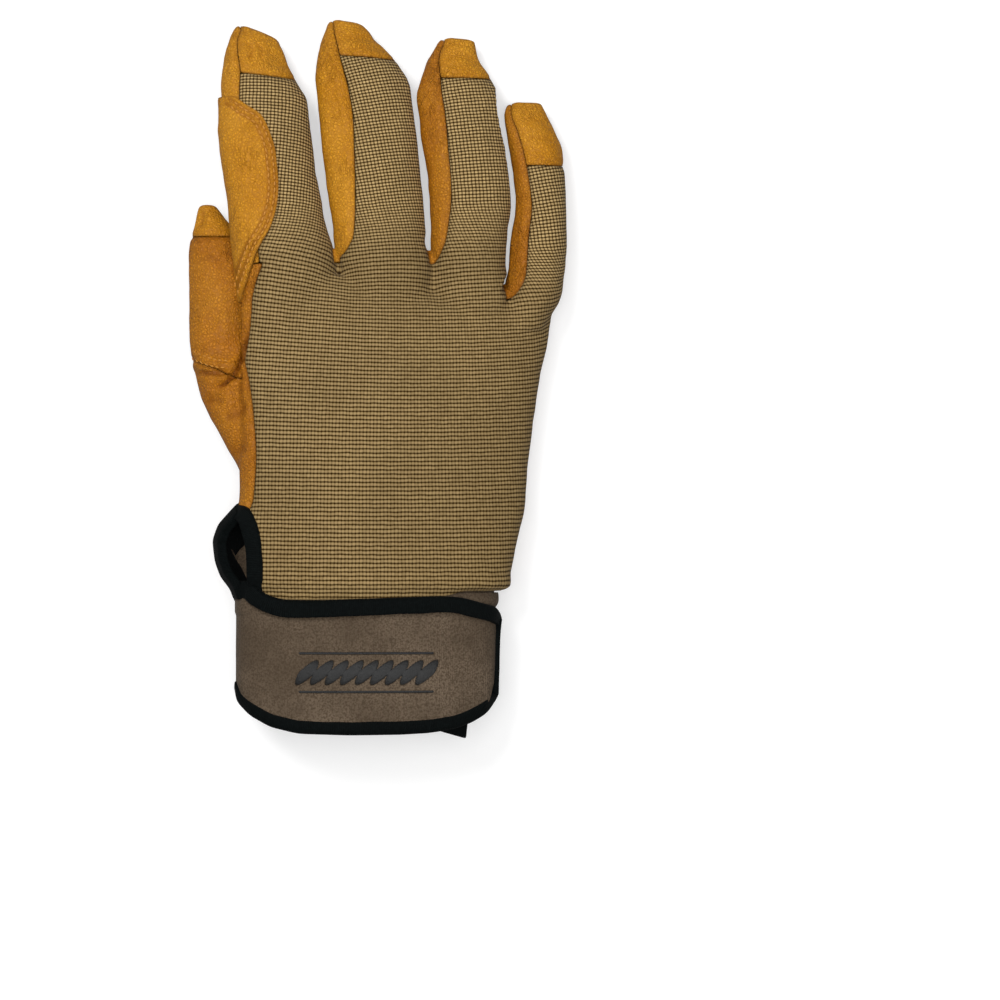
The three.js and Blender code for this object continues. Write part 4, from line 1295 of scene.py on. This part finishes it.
def tape(name, points, normals, widths, top, bottom, inward_sign, closed=False, wave=0.12, rounds=6):
    """A folded ribbon along an edge, with its widths at even places of the path."""
    path, up, places = even_path(points, normals, tape_step, closed, rounds)
    widths = np.interp(np.linspace(0, 1, len(path)), np.linspace(0, 1, len(widths)), widths)
    if closed:
        ahead = np.roll(path, -1, 0) - np.roll(path, 1, 0)
    else:
        ahead = np.gradient(path, axis=0)
    ahead /= np.linalg.norm(ahead, axis=1)[:, None]
    inward = inward_sign * np.cross(up, ahead)
    inward /= np.linalg.norm(inward, axis=1)[:, None]
    rings = []
    for k in range(len(path)):
        w = widths[k] * (1 + wave * 0.4 * noise.noise(Vector((places[k] / 9, 2.0, 5.0))))
        rise = top * (1 + wave * noise.noise(Vector((places[k] / 6, 7.0, 1.0))))
        upper = [(w, top - 0.75), (w, top - 0.2), (w - 0.35, top), (w * 0.66, rise + 0.04), (w * 0.36, rise)]
        fold = [(0.7, top - 0.15), (0.1, top - 0.75), (-0.25, (top + bottom) / 2)]
        fold += [(0.1, bottom + 0.75), (0.7, bottom + 0.15)]
        lower = [(w * 0.5, bottom), (w - 0.35, bottom), (w, bottom + 0.2), (w, bottom + 0.75)]
        profile = upper + fold + lower
        rings.append([path[k] + inward[k] * a + up[k] * b for a, b in profile])
    rows, count = np.shape(rings)[:2]
    faces, uvs = [], []
    for row in range(rows if closed else rows - 1):
        after = (row + 1) % rows
        for j in range(count):
            k = (j + 1) % count
            faces.append([row * count + j, row * count + k, after * count + k, after * count + j])
            u0, u1 = places[row], places[row] + tape_step
            uvs += [(u0, j), (u0, j + 1), (u1, j + 1), (u1, j)]
    if not closed:
        faces += [list(range(count))[::-1], list(range((rows - 1) * count, rows * count))]
        uvs += [(0, 0)] * (2 * count)
    obj = mesh_object(name, rings, faces)
    layer = obj.data.uv_layers.new(name="ribbon")
    layer.data.foreach_set("uv", np.array(uvs, float).ravel())
    only(obj)
    bpy.ops.object.mode_set(mode="EDIT")
    bpy.ops.mesh.select_all(action="SELECT")
    bpy.ops.mesh.normals_make_consistent(inside=False)
    bpy.ops.object.mode_set(mode="OBJECT")
    rounder = obj.modifiers.new("rounder", "SUBSURF")
    rounder.levels = 1
    rounder.render_levels = 1
    bpy.ops.object.modifier_apply(modifier="rounder")
    bpy.ops.object.shade_smooth()
    print(name, "path", round(float(places[-1])), "mm")
    return obj


# %% Tapes of the strap, the hem and the slit
strap_mid = strap_lift + cuff_wall / 2
edge_path = []
for x, y in (photo(*spot) for spot in strap_edge):
    edge_path.append(surface_point(cuff, y, share_at(cuff, y, x, strap_mid), 1, strap_mid))
(first_x, first_y, _), _ = edge_path[0]
(last_x, last_y, _), _ = edge_path[-1]
narrow_y = cuff["root"][1] + taper_end * cuff["length"]
# the tape runs on round the glove's left side, above and below
round_side = [(-0.86, -1), (-0.93, -1), (-0.98, -1), (-1.0, 1), (-0.985, 1), (-0.95, 1), (-0.9, 1)]
lead_in, lead_out = [], []
for side_share, side in round_side:
    point, normal = surface_point(cuff, narrow_y, side_share, side, strap_mid)
    point[1] = first_y + 1.2 + (2.0 if side > 0 else 1.0 + side_share)
    if point[0] < first_x - 1.5:
        lead_in.append((point, normal))
    point, normal = surface_point(cuff, last_y - 0.8, side_share, side, strap_mid)
    if normal[2] < 0.35 and point[0] <= last_x + 0.5:
        lead_out.append((point, normal))
path_points, path_normals = zip(*lead_in, *edge_path, *lead_out[::-1])
path_share = np.arange(len(path_points)) / len(path_points)
strap_widths = np.interp(path_share, [0, 0.2, 0.28, 0.5, 0.6, 1], [5.8, 5.8, 5.6, 5.2, 4.6, 4.4])
strap_binding = tape("strap_binding", path_points, path_normals, strap_widths, 1.75, -1.6, -1)

hem_y = wrist - band_length - hem_tape
hem_points, hem_normals = [], []
for k in range(120):
    angle = 2 * np.pi * k / 120
    share = np.sign(np.cos(angle)) * abs(np.cos(angle)) ** (2 / cuff["power"])
    point, normal = surface_point(cuff, hem_y, share, 1 if np.sin(angle) >= 0 else -1, -cuff_wall / 2)
    hem_points.append(point)
    hem_normals.append(normal)
cuff_binding = tape("cuff_binding", hem_points, hem_normals, [hem_tape], 1.6, -1.6, -1, closed=True)

slit_points, slit_normals = [], []
skin_tree = tree_of(skin)


def on_skin(x, y):
    """Point and normal where the skin's upper side lies under x and y, or the palm's own beside it."""
    hit, normal, _, _ = skin_tree.ray_cast(Vector((x, y, 90)), Vector((0, 0, -1)))
    if hit is None or y < wrist + 1:
        return surface_point(palm, y, share_at(palm, y, x, 0.0), 1, 0.0)
    return np.array(hit), np.array(normal)


for (x, y), (x_in, y_in) in zip(beside(slit_line, -1.2), beside(slit_line, 2.6)):
    point, normal = on_skin(x, y)
    slit_points.append(point)
    slit_normals.append((normal + on_skin(x_in, y_in)[1]) / 2)
slit_widths = [5.8, 5.8, 6.0, 6.4, 7.0, 7.2]
slit_binding = tape("slit_binding", slit_points, slit_normals, slit_widths, 1.1, -2.3, 1, rounds=3)

# a fold of the cuff's grey lining, seen through the opening
fold_outline = [
    (231, 548, 15.0), (236, 556, 16.0), (241, 549, 17.0), (248, 543, 18.0), (250, 556, 18.0),
    (252, 570, 18.0), (253, 585, 19.0), (247, 577, 17.0), (242, 567, 16.0), (237, 560, 15.0),
]
fold_points = [(*photo(x, y), z) for x, y, z in fold_outline]
lining_fold = mesh_object("lining_fold", fold_points, [list(range(len(fold_points)))])
give_wall(lining_fold, 0.5)


# %% [markdown]
# A row of stitches is one short rounded bar, modelled once and copied at an even pitch. Each copy is laid on
# the finished leather by a ray from outside and turned along the row. The thread stands a little proud.

# %% Thread
bpy.ops.object.select_all(action="DESELECT")
bpy.ops.mesh.primitive_uv_sphere_add(segments=7, ring_count=6, radius=1)
stitch_form = bpy.context.object
bpy.ops.object.mode_set(mode="EDIT")
bpy.ops.mesh.select_all(action="SELECT")
bpy.ops.transform.rotate(value=math.pi / 2, orient_axis="Y", center_override=(0, 0, 0))
bpy.ops.object.mode_set(mode="OBJECT")
stitch_points = np.array([v.co[:] for v in stitch_form.data.vertices])
stitch_faces = [list(p.vertices) for p in stitch_form.data.polygons]
remove(stitch_form)


def walk(line, pitch):
    """Even places along a line, with the direction at each."""
    line = np.asarray(line, float)
    lengths = np.concatenate([[0], np.cumsum(np.linalg.norm(np.diff(line, axis=0), axis=1))])
    dense = np.linspace(0, lengths[-1], max(8, int(lengths[-1] * 2)))
    xs = smooth_look_up(lengths, line[:, 0], dense)
    ys = smooth_look_up(lengths, line[:, 1], dense)
    lengths = np.concatenate([[0], np.cumsum(np.hypot(np.diff(xs), np.diff(ys)))])
    places = np.arange(pitch / 2, lengths[-1], pitch)

    def at_places(wanted):
        return np.stack([np.interp(wanted, lengths, xs), np.interp(wanted, lengths, ys)], 1)

    return at_places(places), at_places(places + 0.3) - at_places(places - 0.3)


def bars(name, spots, long, wide, high, wander=0.08):
    """One mesh of bars, each at a point, turned by a normal and a direction."""
    all_points, all_faces = [], []
    for number, (point, normal, ahead, *share) in enumerate(spots):
        share = share[0] if share else 1.0
        normal = np.array(normal)
        ahead = ahead - normal * (ahead @ normal)
        ahead = ahead / max(np.linalg.norm(ahead), 1e-6)
        beside_it = np.cross(normal, ahead)
        ahead = ahead + wander * math.sin(number * 2.4) * beside_it
        shaped = stitch_points * [long * share / 2, wide / 2, high * (0.4 + 0.6 * share) / 2]
        moved = np.array(point) + shaped[:, :1] * ahead + shaped[:, 1:2] * beside_it + shaped[:, 2:] * normal
        start = len(all_points) * len(stitch_points)
        all_points.append(moved)
        all_faces += [[start + k for k in f] for f in stitch_faces]
    obj = mesh_object(name, np.concatenate(all_points), all_faces)
    only(obj)
    bpy.ops.object.shade_smooth()
    print(name, len(spots), "stitches")
    return obj


def sew(name, tree, lines, side, pitch=2.6, long=2.1, wide=0.5, high=0.46):
    spots = []
    for line in lines:
        places, directions = walk(line, pitch)
        for (x, y), d in zip(places, directions):
            hit, normal, _, _ = tree.ray_cast(Vector((x, y, 90 * side)), Vector((0, 0, -side)))
            if hit is None or normal.z * side < 0.12:
                continue
            spots.append((hit + normal * (high * 0.25), normal, np.array([d[0], d[1], 0.0])))
    return bars(name, spots, long, wide, high)


thumb_leather, thumb_top = panels["thumb_panel"], panels["thumb_side_panel"]
palm_thread = sew("palm_patch_stitches", tree_of(palm_patch), patch_rows, -1)
tab_thread = sew("clip_tab_stitches", tree_of(clip_tab), tab_rows, -1, pitch=2.1, long=1.6)
side_tree, rim_tree, heel_tree = tree_of(crescent), tree_of(thumb_leather), tree_of(thumb_leather, thumb_top)
side_thread = sew("side_patch_stitches", side_tree, crescent_rows, 1, pitch=2.2, long=1.6, wide=0.6, high=0.6)
thumb_thread = sew("thumb_rim_stitches", rim_tree, oval_rim, -1, pitch=2.2, long=1.7)
heel_thread = sew("thumb_seam_stitches", heel_tree, double(heel_ridge, 2.4), 1, pitch=1.9, long=1.4)

# a twisted rope in satin stitch between two lines of cord
rope_x, rope_y = photo(368, 671)
rope_length = 46.0
rope_height = 11.5
cord_gap = 6.6
strands = 9
threads = 15
strap_tree = tree_of(strap)
rope_spots = []
for k in range(strands * threads):
    x = rope_x + ((k + 0.5) / (strands * threads) - 0.5) * rope_length
    share = math.sin(math.pi * ((k % threads) + 0.5) / threads) ** 0.55
    place, normal, _, _ = strap_tree.ray_cast(Vector((x, rope_y, 90)), Vector((0, 0, -1)))
    rope_spots.append((place + normal * 0.1, normal, np.array([0.8, 1.0, 0.0]), share))
rope = bars("strap_rope", rope_spots, rope_height, 0.6, 1.3, wander=0.0)
cord_lines = [
    [(rope_x - rope_length / 2, rope_y + up), (rope_x + rope_length / 2, rope_y + up)]
    for up in (-cord_gap, cord_gap)
]
cord = sew("strap_cord", strap_tree, cord_lines, 1, pitch=0.8, long=1.3, wide=0.9, high=0.7)

# %% [markdown]
# Finishes. Colours are given as they look on a screen and turned into the linear values that shaders want.
# Effects that several finishes share are node groups: the grain of leather, the ribs of stretch
# cloth, the knit of foam cloth, and the painted shade along seams, stitch rows and creases.


# %% Node helpers
def paint(r, g, b):
    def linear(value):
        value /= 255
        return value / 12.92 if value <= 0.04045 else ((value + 0.055) / 1.055) ** 2.4

    return (linear(r), linear(g), linear(b), 1.0)


class Wires:
    """Short words for adding nodes to a tree and wiring them."""

    def __init__(self, tree):
        self.tree = tree

    def add(self, kind, settings=None, **inputs):
        node = self.tree.nodes.new(kind)
        for key, value in (settings or {}).items():
            setattr(node, key, value)
        for key, value in inputs.items():
            self.put(node, key, value)
        return node

    def put(self, node, key, value):
        numbered = key[0] == "i" and key[1:].isdigit()
        spot = node.inputs[int(key[1:]) if numbered else key.replace("_", " ")]
        if isinstance(value, bpy.types.NodeSocket):
            self.tree.links.new(value, spot)
        else:
            spot.default_value = value

    def math(self, operation, a, b=0.0):
        return self.add("ShaderNodeMath", {"operation": operation}, i0=a, i1=b).outputs[0]

    def plus(self, a, b):
        return self.math("ADD", a, b)

    def minus(self, a, b):
        return self.math("SUBTRACT", a, b)

    def times(self, a, b):
        return self.math("MULTIPLY", a, b)

    def waves(self, value):
        """Rounded ridges, one for each whole step of value."""
        return self.math("ABSOLUTE", self.math("SINE", self.times(value, math.pi)))

    def step(self, value, low, high):
        """0 below low, 1 above high, with a soft way between."""
        soft = {"interpolation_type": "SMOOTHSTEP"}
        node = self.add("ShaderNodeMapRange", soft, Value=value, From_Min=low, From_Max=high)
        return node.outputs["Result"]

    def blend(self, factor, a, b):
        return self.add("ShaderNodeMix", {"data_type": "RGBA"}, i0=factor, i6=a, i7=b).outputs[2]

    def marks_and_shade(self, colour, *marks):
        """Colour darkened by marks of the material and by painted shade, each a mask, an amount and the
        colour it brings.
        """
        for mask, amount, tone in marks:
            colour = self.blend(self.times(mask, amount), colour, tone)
        return colour

    def noise(self, vector, scale, detail=2.0, roughness=0.5):
        places = {"Vector": vector, "Scale": scale, "Detail": detail, "Roughness": roughness}
        return self.add("ShaderNodeTexNoise", None, **places).outputs[0]

    def stretch(self, vector, x, y, z):
        return self.add("ShaderNodeMapping", None, Vector=vector, Scale=(x, y, z)).outputs[0]

    def kept(self, name):
        """A value that is kept on the mesh's points."""
        return self.add("ShaderNodeAttribute", {"attribute_name": name}).outputs["Fac"]

    def surface(self, shader, colour, roughness, height, strength, distance, **uniform):
        """Wires colour, roughness and a bump into a shader, and sets its uniform sockets."""
        self.put(shader, "Base Color", colour)
        self.put(shader, "Roughness", roughness)
        bump = self.add("ShaderNodeBump", None, Height=height, Strength=strength, Distance=distance)
        self.put(shader, "Normal", bump.outputs[0])
        for key, value in uniform.items():
            self.put(shader, key, value)


def new_group(name, inputs, outputs):
    tree = bpy.data.node_groups.new(name, "ShaderNodeTree")
    for label, kind, value in inputs:
        socket = tree.interface.new_socket(name=label, in_out="INPUT", socket_type=kind)
        if value is not None:
            socket.default_value = value
    for label, kind in outputs:
        tree.interface.new_socket(name=label, in_out="OUTPUT", socket_type=kind)
    w = Wires(tree)
    return w, w.add("NodeGroupInput"), w.add("NodeGroupOutput")


FLOAT, VECTOR = "NodeSocketFloat", "NodeSocketVector"

# %% [markdown]
# Leather has grain at three scales: pores, pebbles of about a millimetre, and soft wrinkles some
# millimetres apart. Tone drifts over the hide. The pebble is a Voronoi distance, because real grain is
# cells pressed against each other.

# %% Leather grain group
w, start, end = new_group(
    "leather_grain",
    [("Vector", VECTOR, None)],
    [("Height", FLOAT), ("Crease", FLOAT), ("Tone", FLOAT), ("Pore", FLOAT)],
)
place = start.outputs["Vector"]
warp = w.add("ShaderNodeTexNoise", None, Vector=place, Scale=260.0, Detail=2.0).outputs["Color"]
warp = w.add("ShaderNodeVectorMath", {"operation": "SUBTRACT"}, i0=warp, i1=(0.5, 0.5, 0.5)).outputs[0]
warp = w.add("ShaderNodeVectorMath", {"operation": "SCALE"}, i0=warp, Scale=0.0012).outputs[0]
bent = w.add("ShaderNodeVectorMath", {"operation": "ADD"}, i0=place, i1=warp).outputs[0]
cells = w.add("ShaderNodeTexVoronoi", {"feature": "DISTANCE_TO_EDGE"}, Vector=bent, Scale=950.0)
pebble = w.step(cells.outputs["Distance"], 0.0, 0.32)
veins = w.noise(w.stretch(bent, 1.25, 0.6, 1.0), 260.0, 3.0, 0.65)
veins = w.step(w.math("ABSOLUTE", w.minus(veins, 0.5)), 0.0, 0.045)
patchy = w.step(w.noise(place, 75.0, 3.0), 0.42, 0.66)
crease = w.times(w.minus(1.0, veins), patchy)
fine = w.noise(place, 2600.0, 2.0)
soft = w.noise(place, 120.0, 3.0, 0.6)
height = w.plus(w.times(pebble, 0.35), w.times(fine, 0.16))
height = w.plus(height, w.times(soft, 0.5))
w.put(end, "Height", w.minus(height, w.times(crease, 0.55)))
w.put(end, "Crease", crease)
w.put(end, "Tone", w.noise(place, 28.0, 4.0, 0.6))
w.put(end, "Pore", w.minus(1.0, pebble))

# %% Painted seam shade group
# Painted shade: Dark in a seam's gap, Soft over a few millimetres beside a seam, Row along the dips of stitch
# rows and Fold in pressed creases.
seam_shade_masks = [("Dark", FLOAT), ("Soft", FLOAT), ("Row", FLOAT), ("Fold", FLOAT)]
w, start, end = new_group("seam_shade", [("Reach", FLOAT, 2.2)], seam_shade_masks)
w.put(end, "Dark", w.minus(1.0, w.step(w.kept("seam"), 0.05, 0.7)))
w.put(end, "Soft", w.minus(1.0, w.step(w.kept("seam"), 0.3, start.outputs["Reach"])))
w.put(end, "Row", w.minus(1.0, w.step(w.kept("row"), 0.15, 1.1)))
w.put(end, "Fold", w.step(w.kept("fold"), 0.05, 0.8))


def new_finish(name):
    material = bpy.data.materials.new(name)
    material.use_nodes = True
    tree = material.node_tree
    tree.nodes.clear()
    w = Wires(tree)
    shader = w.add("ShaderNodeBsdfPrincipled")
    out = w.add("ShaderNodeOutputMaterial")
    tree.links.new(shader.outputs[0], out.inputs["Surface"])
    return material, w, shader


def use(w, group, **inputs):
    node = w.add("ShaderNodeGroup", {"node_tree": bpy.data.node_groups[group]})
    for key, value in inputs.items():
        w.put(node, key, value)
    return node.outputs


def here(w):
    return w.add("ShaderNodeTexCoord").outputs["Object"]


# %% Leather finishes
def leather(name, light, mid, dark, deep, bump):
    material, w, shader = new_finish(name)
    grain = use(w, "leather_grain", Vector=here(w))
    painted_shade = use(w, "seam_shade", Reach=4.0)
    fleck = w.step(w.noise(here(w), 1000.0, 3.0, 0.7), 0.35, 0.65)
    # Fleck, crease and pore are the leather's own grain; the last four marks are painted shade beside seams,
    # in stitch-row dips, in pressed creases and in a seam's gap.
    colour = w.marks_and_shade(
        w.blend(w.step(grain["Tone"], 0.36, 0.66), mid, light),
        (fleck, 0.36, dark),
        (grain["Crease"], 0.28, dark),
        (grain["Pore"], 0.45, dark),
        (painted_shade["Soft"], 0.15, dark),
        (painted_shade["Row"], 0.7, dark),
        (painted_shade["Fold"], 0.85, dark),
        (painted_shade["Dark"], 0.4, deep),
    )
    roughness = w.plus(w.plus(w.times(grain["Tone"], 0.16), 0.44), w.times(grain["Crease"], 0.12))
    w.surface(shader, colour, roughness, grain["Height"], bump, 0.0007, Specular_IOR_Level=0.2)
    return material


tan_tones = (paint(222, 158, 42), paint(206, 140, 24), paint(142, 84, 8), paint(90, 50, 8))
tan = leather("tan_leather", *tan_tones, bump=0.8)
# The deeper leather also serves as painted shade on two gussets between the fingers.
deep_tones = (paint(204, 136, 32), paint(186, 115, 18), paint(122, 68, 6), paint(80, 44, 6))
deep_tan = leather("palm_leather", *deep_tones, bump=0.85)

# %% [markdown]
# The stretch cloth is a grid of light cells between dark channels, about 1.3 mm apart. The ribs across the
# hand are the stronger ones. The pattern reads the flat map of the cloth, so that it bends with the fingers.

# %% Stretch cloth group and finish
w, start, end = new_group(
    "rib_weave",
    [
        ("Vector", VECTOR, None),
        ("Rib pitch", FLOAT, 1.45),
        ("Column pitch", FLOAT, 1.2),
        ("Column", FLOAT, 0.5),
    ],
    [("Height", FLOAT), ("Light", FLOAT), ("Hole", FLOAT)],
)
split = w.add("ShaderNodeSeparateXYZ", None, Vector=start.outputs["Vector"])
wobble = w.noise(start.outputs["Vector"], 0.25, 2.0)
wobble = w.times(w.minus(wobble, 0.5), 0.5)
u = w.math("DIVIDE", w.plus(split.outputs["X"], wobble), start.outputs["Column pitch"])
v = w.math("DIVIDE", w.plus(split.outputs["Y"], wobble), start.outputs["Rib pitch"])
rib_top = w.math("POWER", w.waves(v), 0.8)
column_top = w.math("POWER", w.waves(u), 0.7)
between_columns = w.minus(1.0, column_top)
cell = w.times(rib_top, w.minus(1.0, w.times(between_columns, start.outputs["Column"])))
cell_place = w.add("ShaderNodeCombineXYZ", None, X=w.math("FLOOR", u), Y=w.math("FLOOR", v))
speck = w.add("ShaderNodeTexWhiteNoise", {"noise_dimensions": "2D"}, Vector=cell_place.outputs[0])
light = w.times(w.step(cell, 0.2, 0.95), w.plus(0.78, w.times(speck.outputs["Value"], 0.22)))
w.put(end, "Height", cell)
w.put(end, "Light", light)
hole = w.times(w.minus(1.0, rib_top), between_columns)
w.put(end, "Hole", w.step(hole, 0.05, 0.5))


def weave(name, light, light_on_finger, dark, hole, column=0.5):
    material, w, shader = new_finish(name)
    flat = w.add("ShaderNodeUVMap", {"uv_map": "weave"}).outputs["UV"]
    on_finger = w.kept("finger")
    ribs = use(w, "rib_weave", Vector=flat, Column=w.plus(column, w.times(on_finger, 0.3)))
    painted_shade = use(w, "seam_shade", Reach=3.0)
    drift = w.noise(here(w), 22.0, 3.0)
    top = w.blend(w.step(drift, 0.35, 0.65), light, tuple(c * 0.86 for c in light[:3]) + (1.0,))
    top = w.blend(w.times(on_finger, 0.5), top, light_on_finger)
    colour = w.blend(ribs["Hole"], w.blend(ribs["Light"], dark, top), hole)
    # Painted shade beside seams and in a seam's gap.
    colour = w.marks_and_shade(colour, (painted_shade["Soft"], 0.12, dark), (painted_shade["Dark"], 0.35, hole))
    roughness = w.plus(0.72, w.times(ribs["Hole"], 0.2))
    yarn = w.noise(w.stretch(flat, 5.0, 1.6, 1.0), 1.4, 2.0)
    height = w.plus(ribs["Height"], w.times(yarn, 0.2))
    soft_face = {"Sheen_Weight": 0.03, "Sheen_Roughness": 0.5, "Specular_IOR_Level": 0.1}
    w.surface(shader, colour, roughness, height, 0.55, 0.0004, **soft_face)
    return material


cloth_tones = (paint(168, 142, 96), paint(224, 190, 130), paint(70, 50, 16), paint(36, 24, 6))
cloth = weave("stretch_cloth", *cloth_tones)
thumb_tones = (paint(134, 117, 72), paint(134, 117, 72), paint(62, 48, 20), paint(30, 22, 8))
thumb_cloth = weave("thumb_stretch_cloth", *thumb_tones, column=0.25)

# %% Foam cloth, tape and thread
knit_masks = [("Height", FLOAT), ("Tone", FLOAT), ("Speck", FLOAT)]
w, start, end = new_group("knit_face", [("Vector", VECTOR, None)], knit_masks)
place = start.outputs["Vector"]
loops = w.noise(w.stretch(place, 1.0, 0.55, 1.0), 2400.0, 1.0)
wales = w.add("ShaderNodeTexWave", None, Vector=place, Scale=420.0, Distortion=1.2, Detail=1.0)
w.put(end, "Height", w.plus(loops, w.times(wales.outputs["Fac"], 0.35)))
w.put(end, "Tone", w.noise(place, 36.0, 4.0, 0.62))
w.put(end, "Speck", w.step(w.noise(place, 1500.0, 1.0), 0.35, 0.7))


def foam(name, light, dark):
    material, w, shader = new_finish(name)
    knit = use(w, "knit_face", Vector=here(w))
    painted_shade = use(w, "seam_shade", Reach=3.0)
    tone = w.plus(w.times(w.step(knit["Tone"], 0.3, 0.7), 0.5), 0.25)
    # deep is the colour of painted shade beside the sheet's edges and seams.
    deep = tuple(c * 0.5 for c in dark[:3]) + (1.0,)
    colour = w.marks_and_shade(w.blend(tone, dark, light), (knit["Speck"], 0.75, dark), (painted_shade["Soft"], 0.35, deep))
    roughness = w.plus(0.78, w.times(knit["Tone"], 0.15))
    soft_face = {"Sheen_Weight": 0.06, "Sheen_Roughness": 0.45, "Specular_IOR_Level": 0.1}
    w.surface(shader, colour, roughness, knit["Height"], 0.5, 0.0004, **soft_face)
    return material


foam_cloth = foam("foam_cloth", paint(120, 104, 87), paint(66, 54, 41))
# Near-black foam finish: painted shade inside the opening beside the wrist.
opening_shade = foam("opening_shade", paint(12, 15, 15), paint(5, 7, 7))


def ribbon(name, light, dark):
    material, w, shader = new_finish(name)
    along = w.add("ShaderNodeUVMap", {"uv_map": "ribbon"}).outputs["UV"]
    split = w.add("ShaderNodeSeparateXYZ", None, Vector=along)
    ribs = w.waves(w.math("DIVIDE", split.outputs["X"], 0.62))
    lint = w.noise(here(w), 900.0, 3.0)
    colour = w.blend(w.times(ribs, w.step(lint, 0.3, 0.8)), dark, light)
    roughness = w.plus(0.62, w.times(lint, 0.2))
    dull = {"Sheen_Weight": 0.01, "Specular_IOR_Level": 0.06}
    w.surface(shader, colour, roughness, w.plus(ribs, w.times(lint, 0.5)), 0.5, 0.0003, **dull)
    return material


edge_tape = ribbon("edge_tape", paint(11, 16, 16), paint(3, 6, 6))


def thread(name, light, dark):
    material, w, shader = new_finish(name)
    twist = w.noise(here(w), 1800.0, 1.0)
    w.surface(shader, w.blend(twist, dark, light), w.plus(0.5, w.times(twist, 0.2)), twist, 0.5, 0.0002)
    return material


gold_thread = thread("gold_thread", paint(218, 154, 54), paint(164, 102, 26))
black_thread = thread("black_thread", paint(34, 34, 34), paint(14, 14, 14))
print("finishes", [m.name for m in bpy.data.materials if m.use_nodes][:12])

# %% Dress the pieces
def dress(obj, node, material):
    if node:
        obj.name = node + "_sewn"
        obj.data.name = obj.name
    obj.data.materials.clear()
    obj.data.materials.append(material)
    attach(obj, "root")
    if node:
        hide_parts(node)


for name, piece in panels.items():
    if name == "back_panel":
        dress(piece, name, cloth)
    elif name == "thumb_back_panel":
        dress(piece, name, thumb_cloth)
    elif name in ("palm_panel", "thumb_panel"):
        dress(piece, name, deep_tan)
    # The middle-ring and ring-little gussets take the deeper leather as painted shade for the shade between
    # the fingers.
    elif name in ("thumb_side_panel", "web_panel", "middle_ring_gusset", "ring_little_gusset"):
        dress(piece, name, deep_tan)
    else:
        dress(piece, name, tan)
dress(palm_patch, "palm_patch", deep_tan)
dress(crescent, "index_side_patch", tan)
dress(clip_tab, "clip_tab", tan)
dress(cuff_band, "cuff_band", foam_cloth)
dress(strap, "wrist_strap", foam_cloth)
dress(strap_binding, "strap_binding", edge_tape)
dress(cuff_binding, "cuff_binding", edge_tape)
dress(slit_binding, "slit_binding", edge_tape)
dress(hem_corner, "hem_corner", edge_tape)
for obj in (palm_thread, tab_thread, side_thread, thumb_thread, heel_thread):
    dress(obj, None, gold_thread)
for obj in (rope, cord):
    dress(obj, None, black_thread)
# painted shade inside the opening
dress(opening_shade_sheet, None, opening_shade)
dress(lining_fold, None, foam_cloth)
dress(wrist_lining, None, foam_cloth)
remove(skin)

# %% [markdown]
# The glove lies on a plain pale floor under wide soft lamps, and the camera looks straight down through a
# long lens, so that the outline has almost no perspective.

# %% Floor, lamps and camera
bpy.ops.object.select_all(action="DESELECT")
bpy.ops.mesh.primitive_plane_add(size=6, location=(0, 0, 0))
floor = bpy.context.object
floor.name = "floor"
floor_paint, w, shader = new_finish("floor_paint")
seen = w.add("ShaderNodeLightPath").outputs["Is Camera Ray"]
w.put(shader, "Base Color", w.blend(seen, (0.35, 0.35, 0.35, 1.0), (0.6, 0.6, 0.6, 1.0)))
w.put(shader, "Emission Strength", w.times(seen, 0.5))
shader.inputs["Emission Color"].default_value = (1.0, 1.0, 1.0, 1.0)
shader.inputs["Roughness"].default_value = 0.9
shader.inputs["Specular IOR Level"].default_value = 0.0
floor.data.materials.append(floor_paint)


def lamp(name, place, size, power):
    """A round soft lamp that shines at the glove."""
    data = bpy.data.lights.new(name, "AREA")
    data.shape = "DISK"
    data.size = size
    data.energy = power
    obj = link(name, data)
    obj.location = place
    obj.rotation_euler = (-Vector(place)).to_track_quat("-Z", "Y").to_euler()


lamp("key", (-0.5, 0.6, 1.15), 0.5, 9.5)
lamp("fill", (0.7, -0.35, 1.2), 1.0, 3.5)
lamp("overhead", (0, 0, 1.7), 1.2, 15.0)
world = bpy.data.worlds.new("studio")
world.use_nodes = True
world.node_tree.nodes["Background"].inputs["Color"].default_value = (1, 1, 1, 1)
world.node_tree.nodes["Background"].inputs["Strength"].default_value = 0.16
bpy.context.scene.world = world
bpy.context.scene.view_settings.view_transform = "Standard"

centre_x, centre_y = photo(500, 500)
view_width = 345.0
glove_middle = 16.0
lens_data = bpy.data.cameras.new("view")
lens_data.lens = 200
lens_data.sensor_width = 36
lens_data.clip_end = 20
distance = view_width * lens_data.lens / lens_data.sensor_width
camera = link("view", lens_data)
camera.location = (centre_x * mm, centre_y * mm, (distance + glove_middle) * mm)
bpy.context.scene.camera = camera
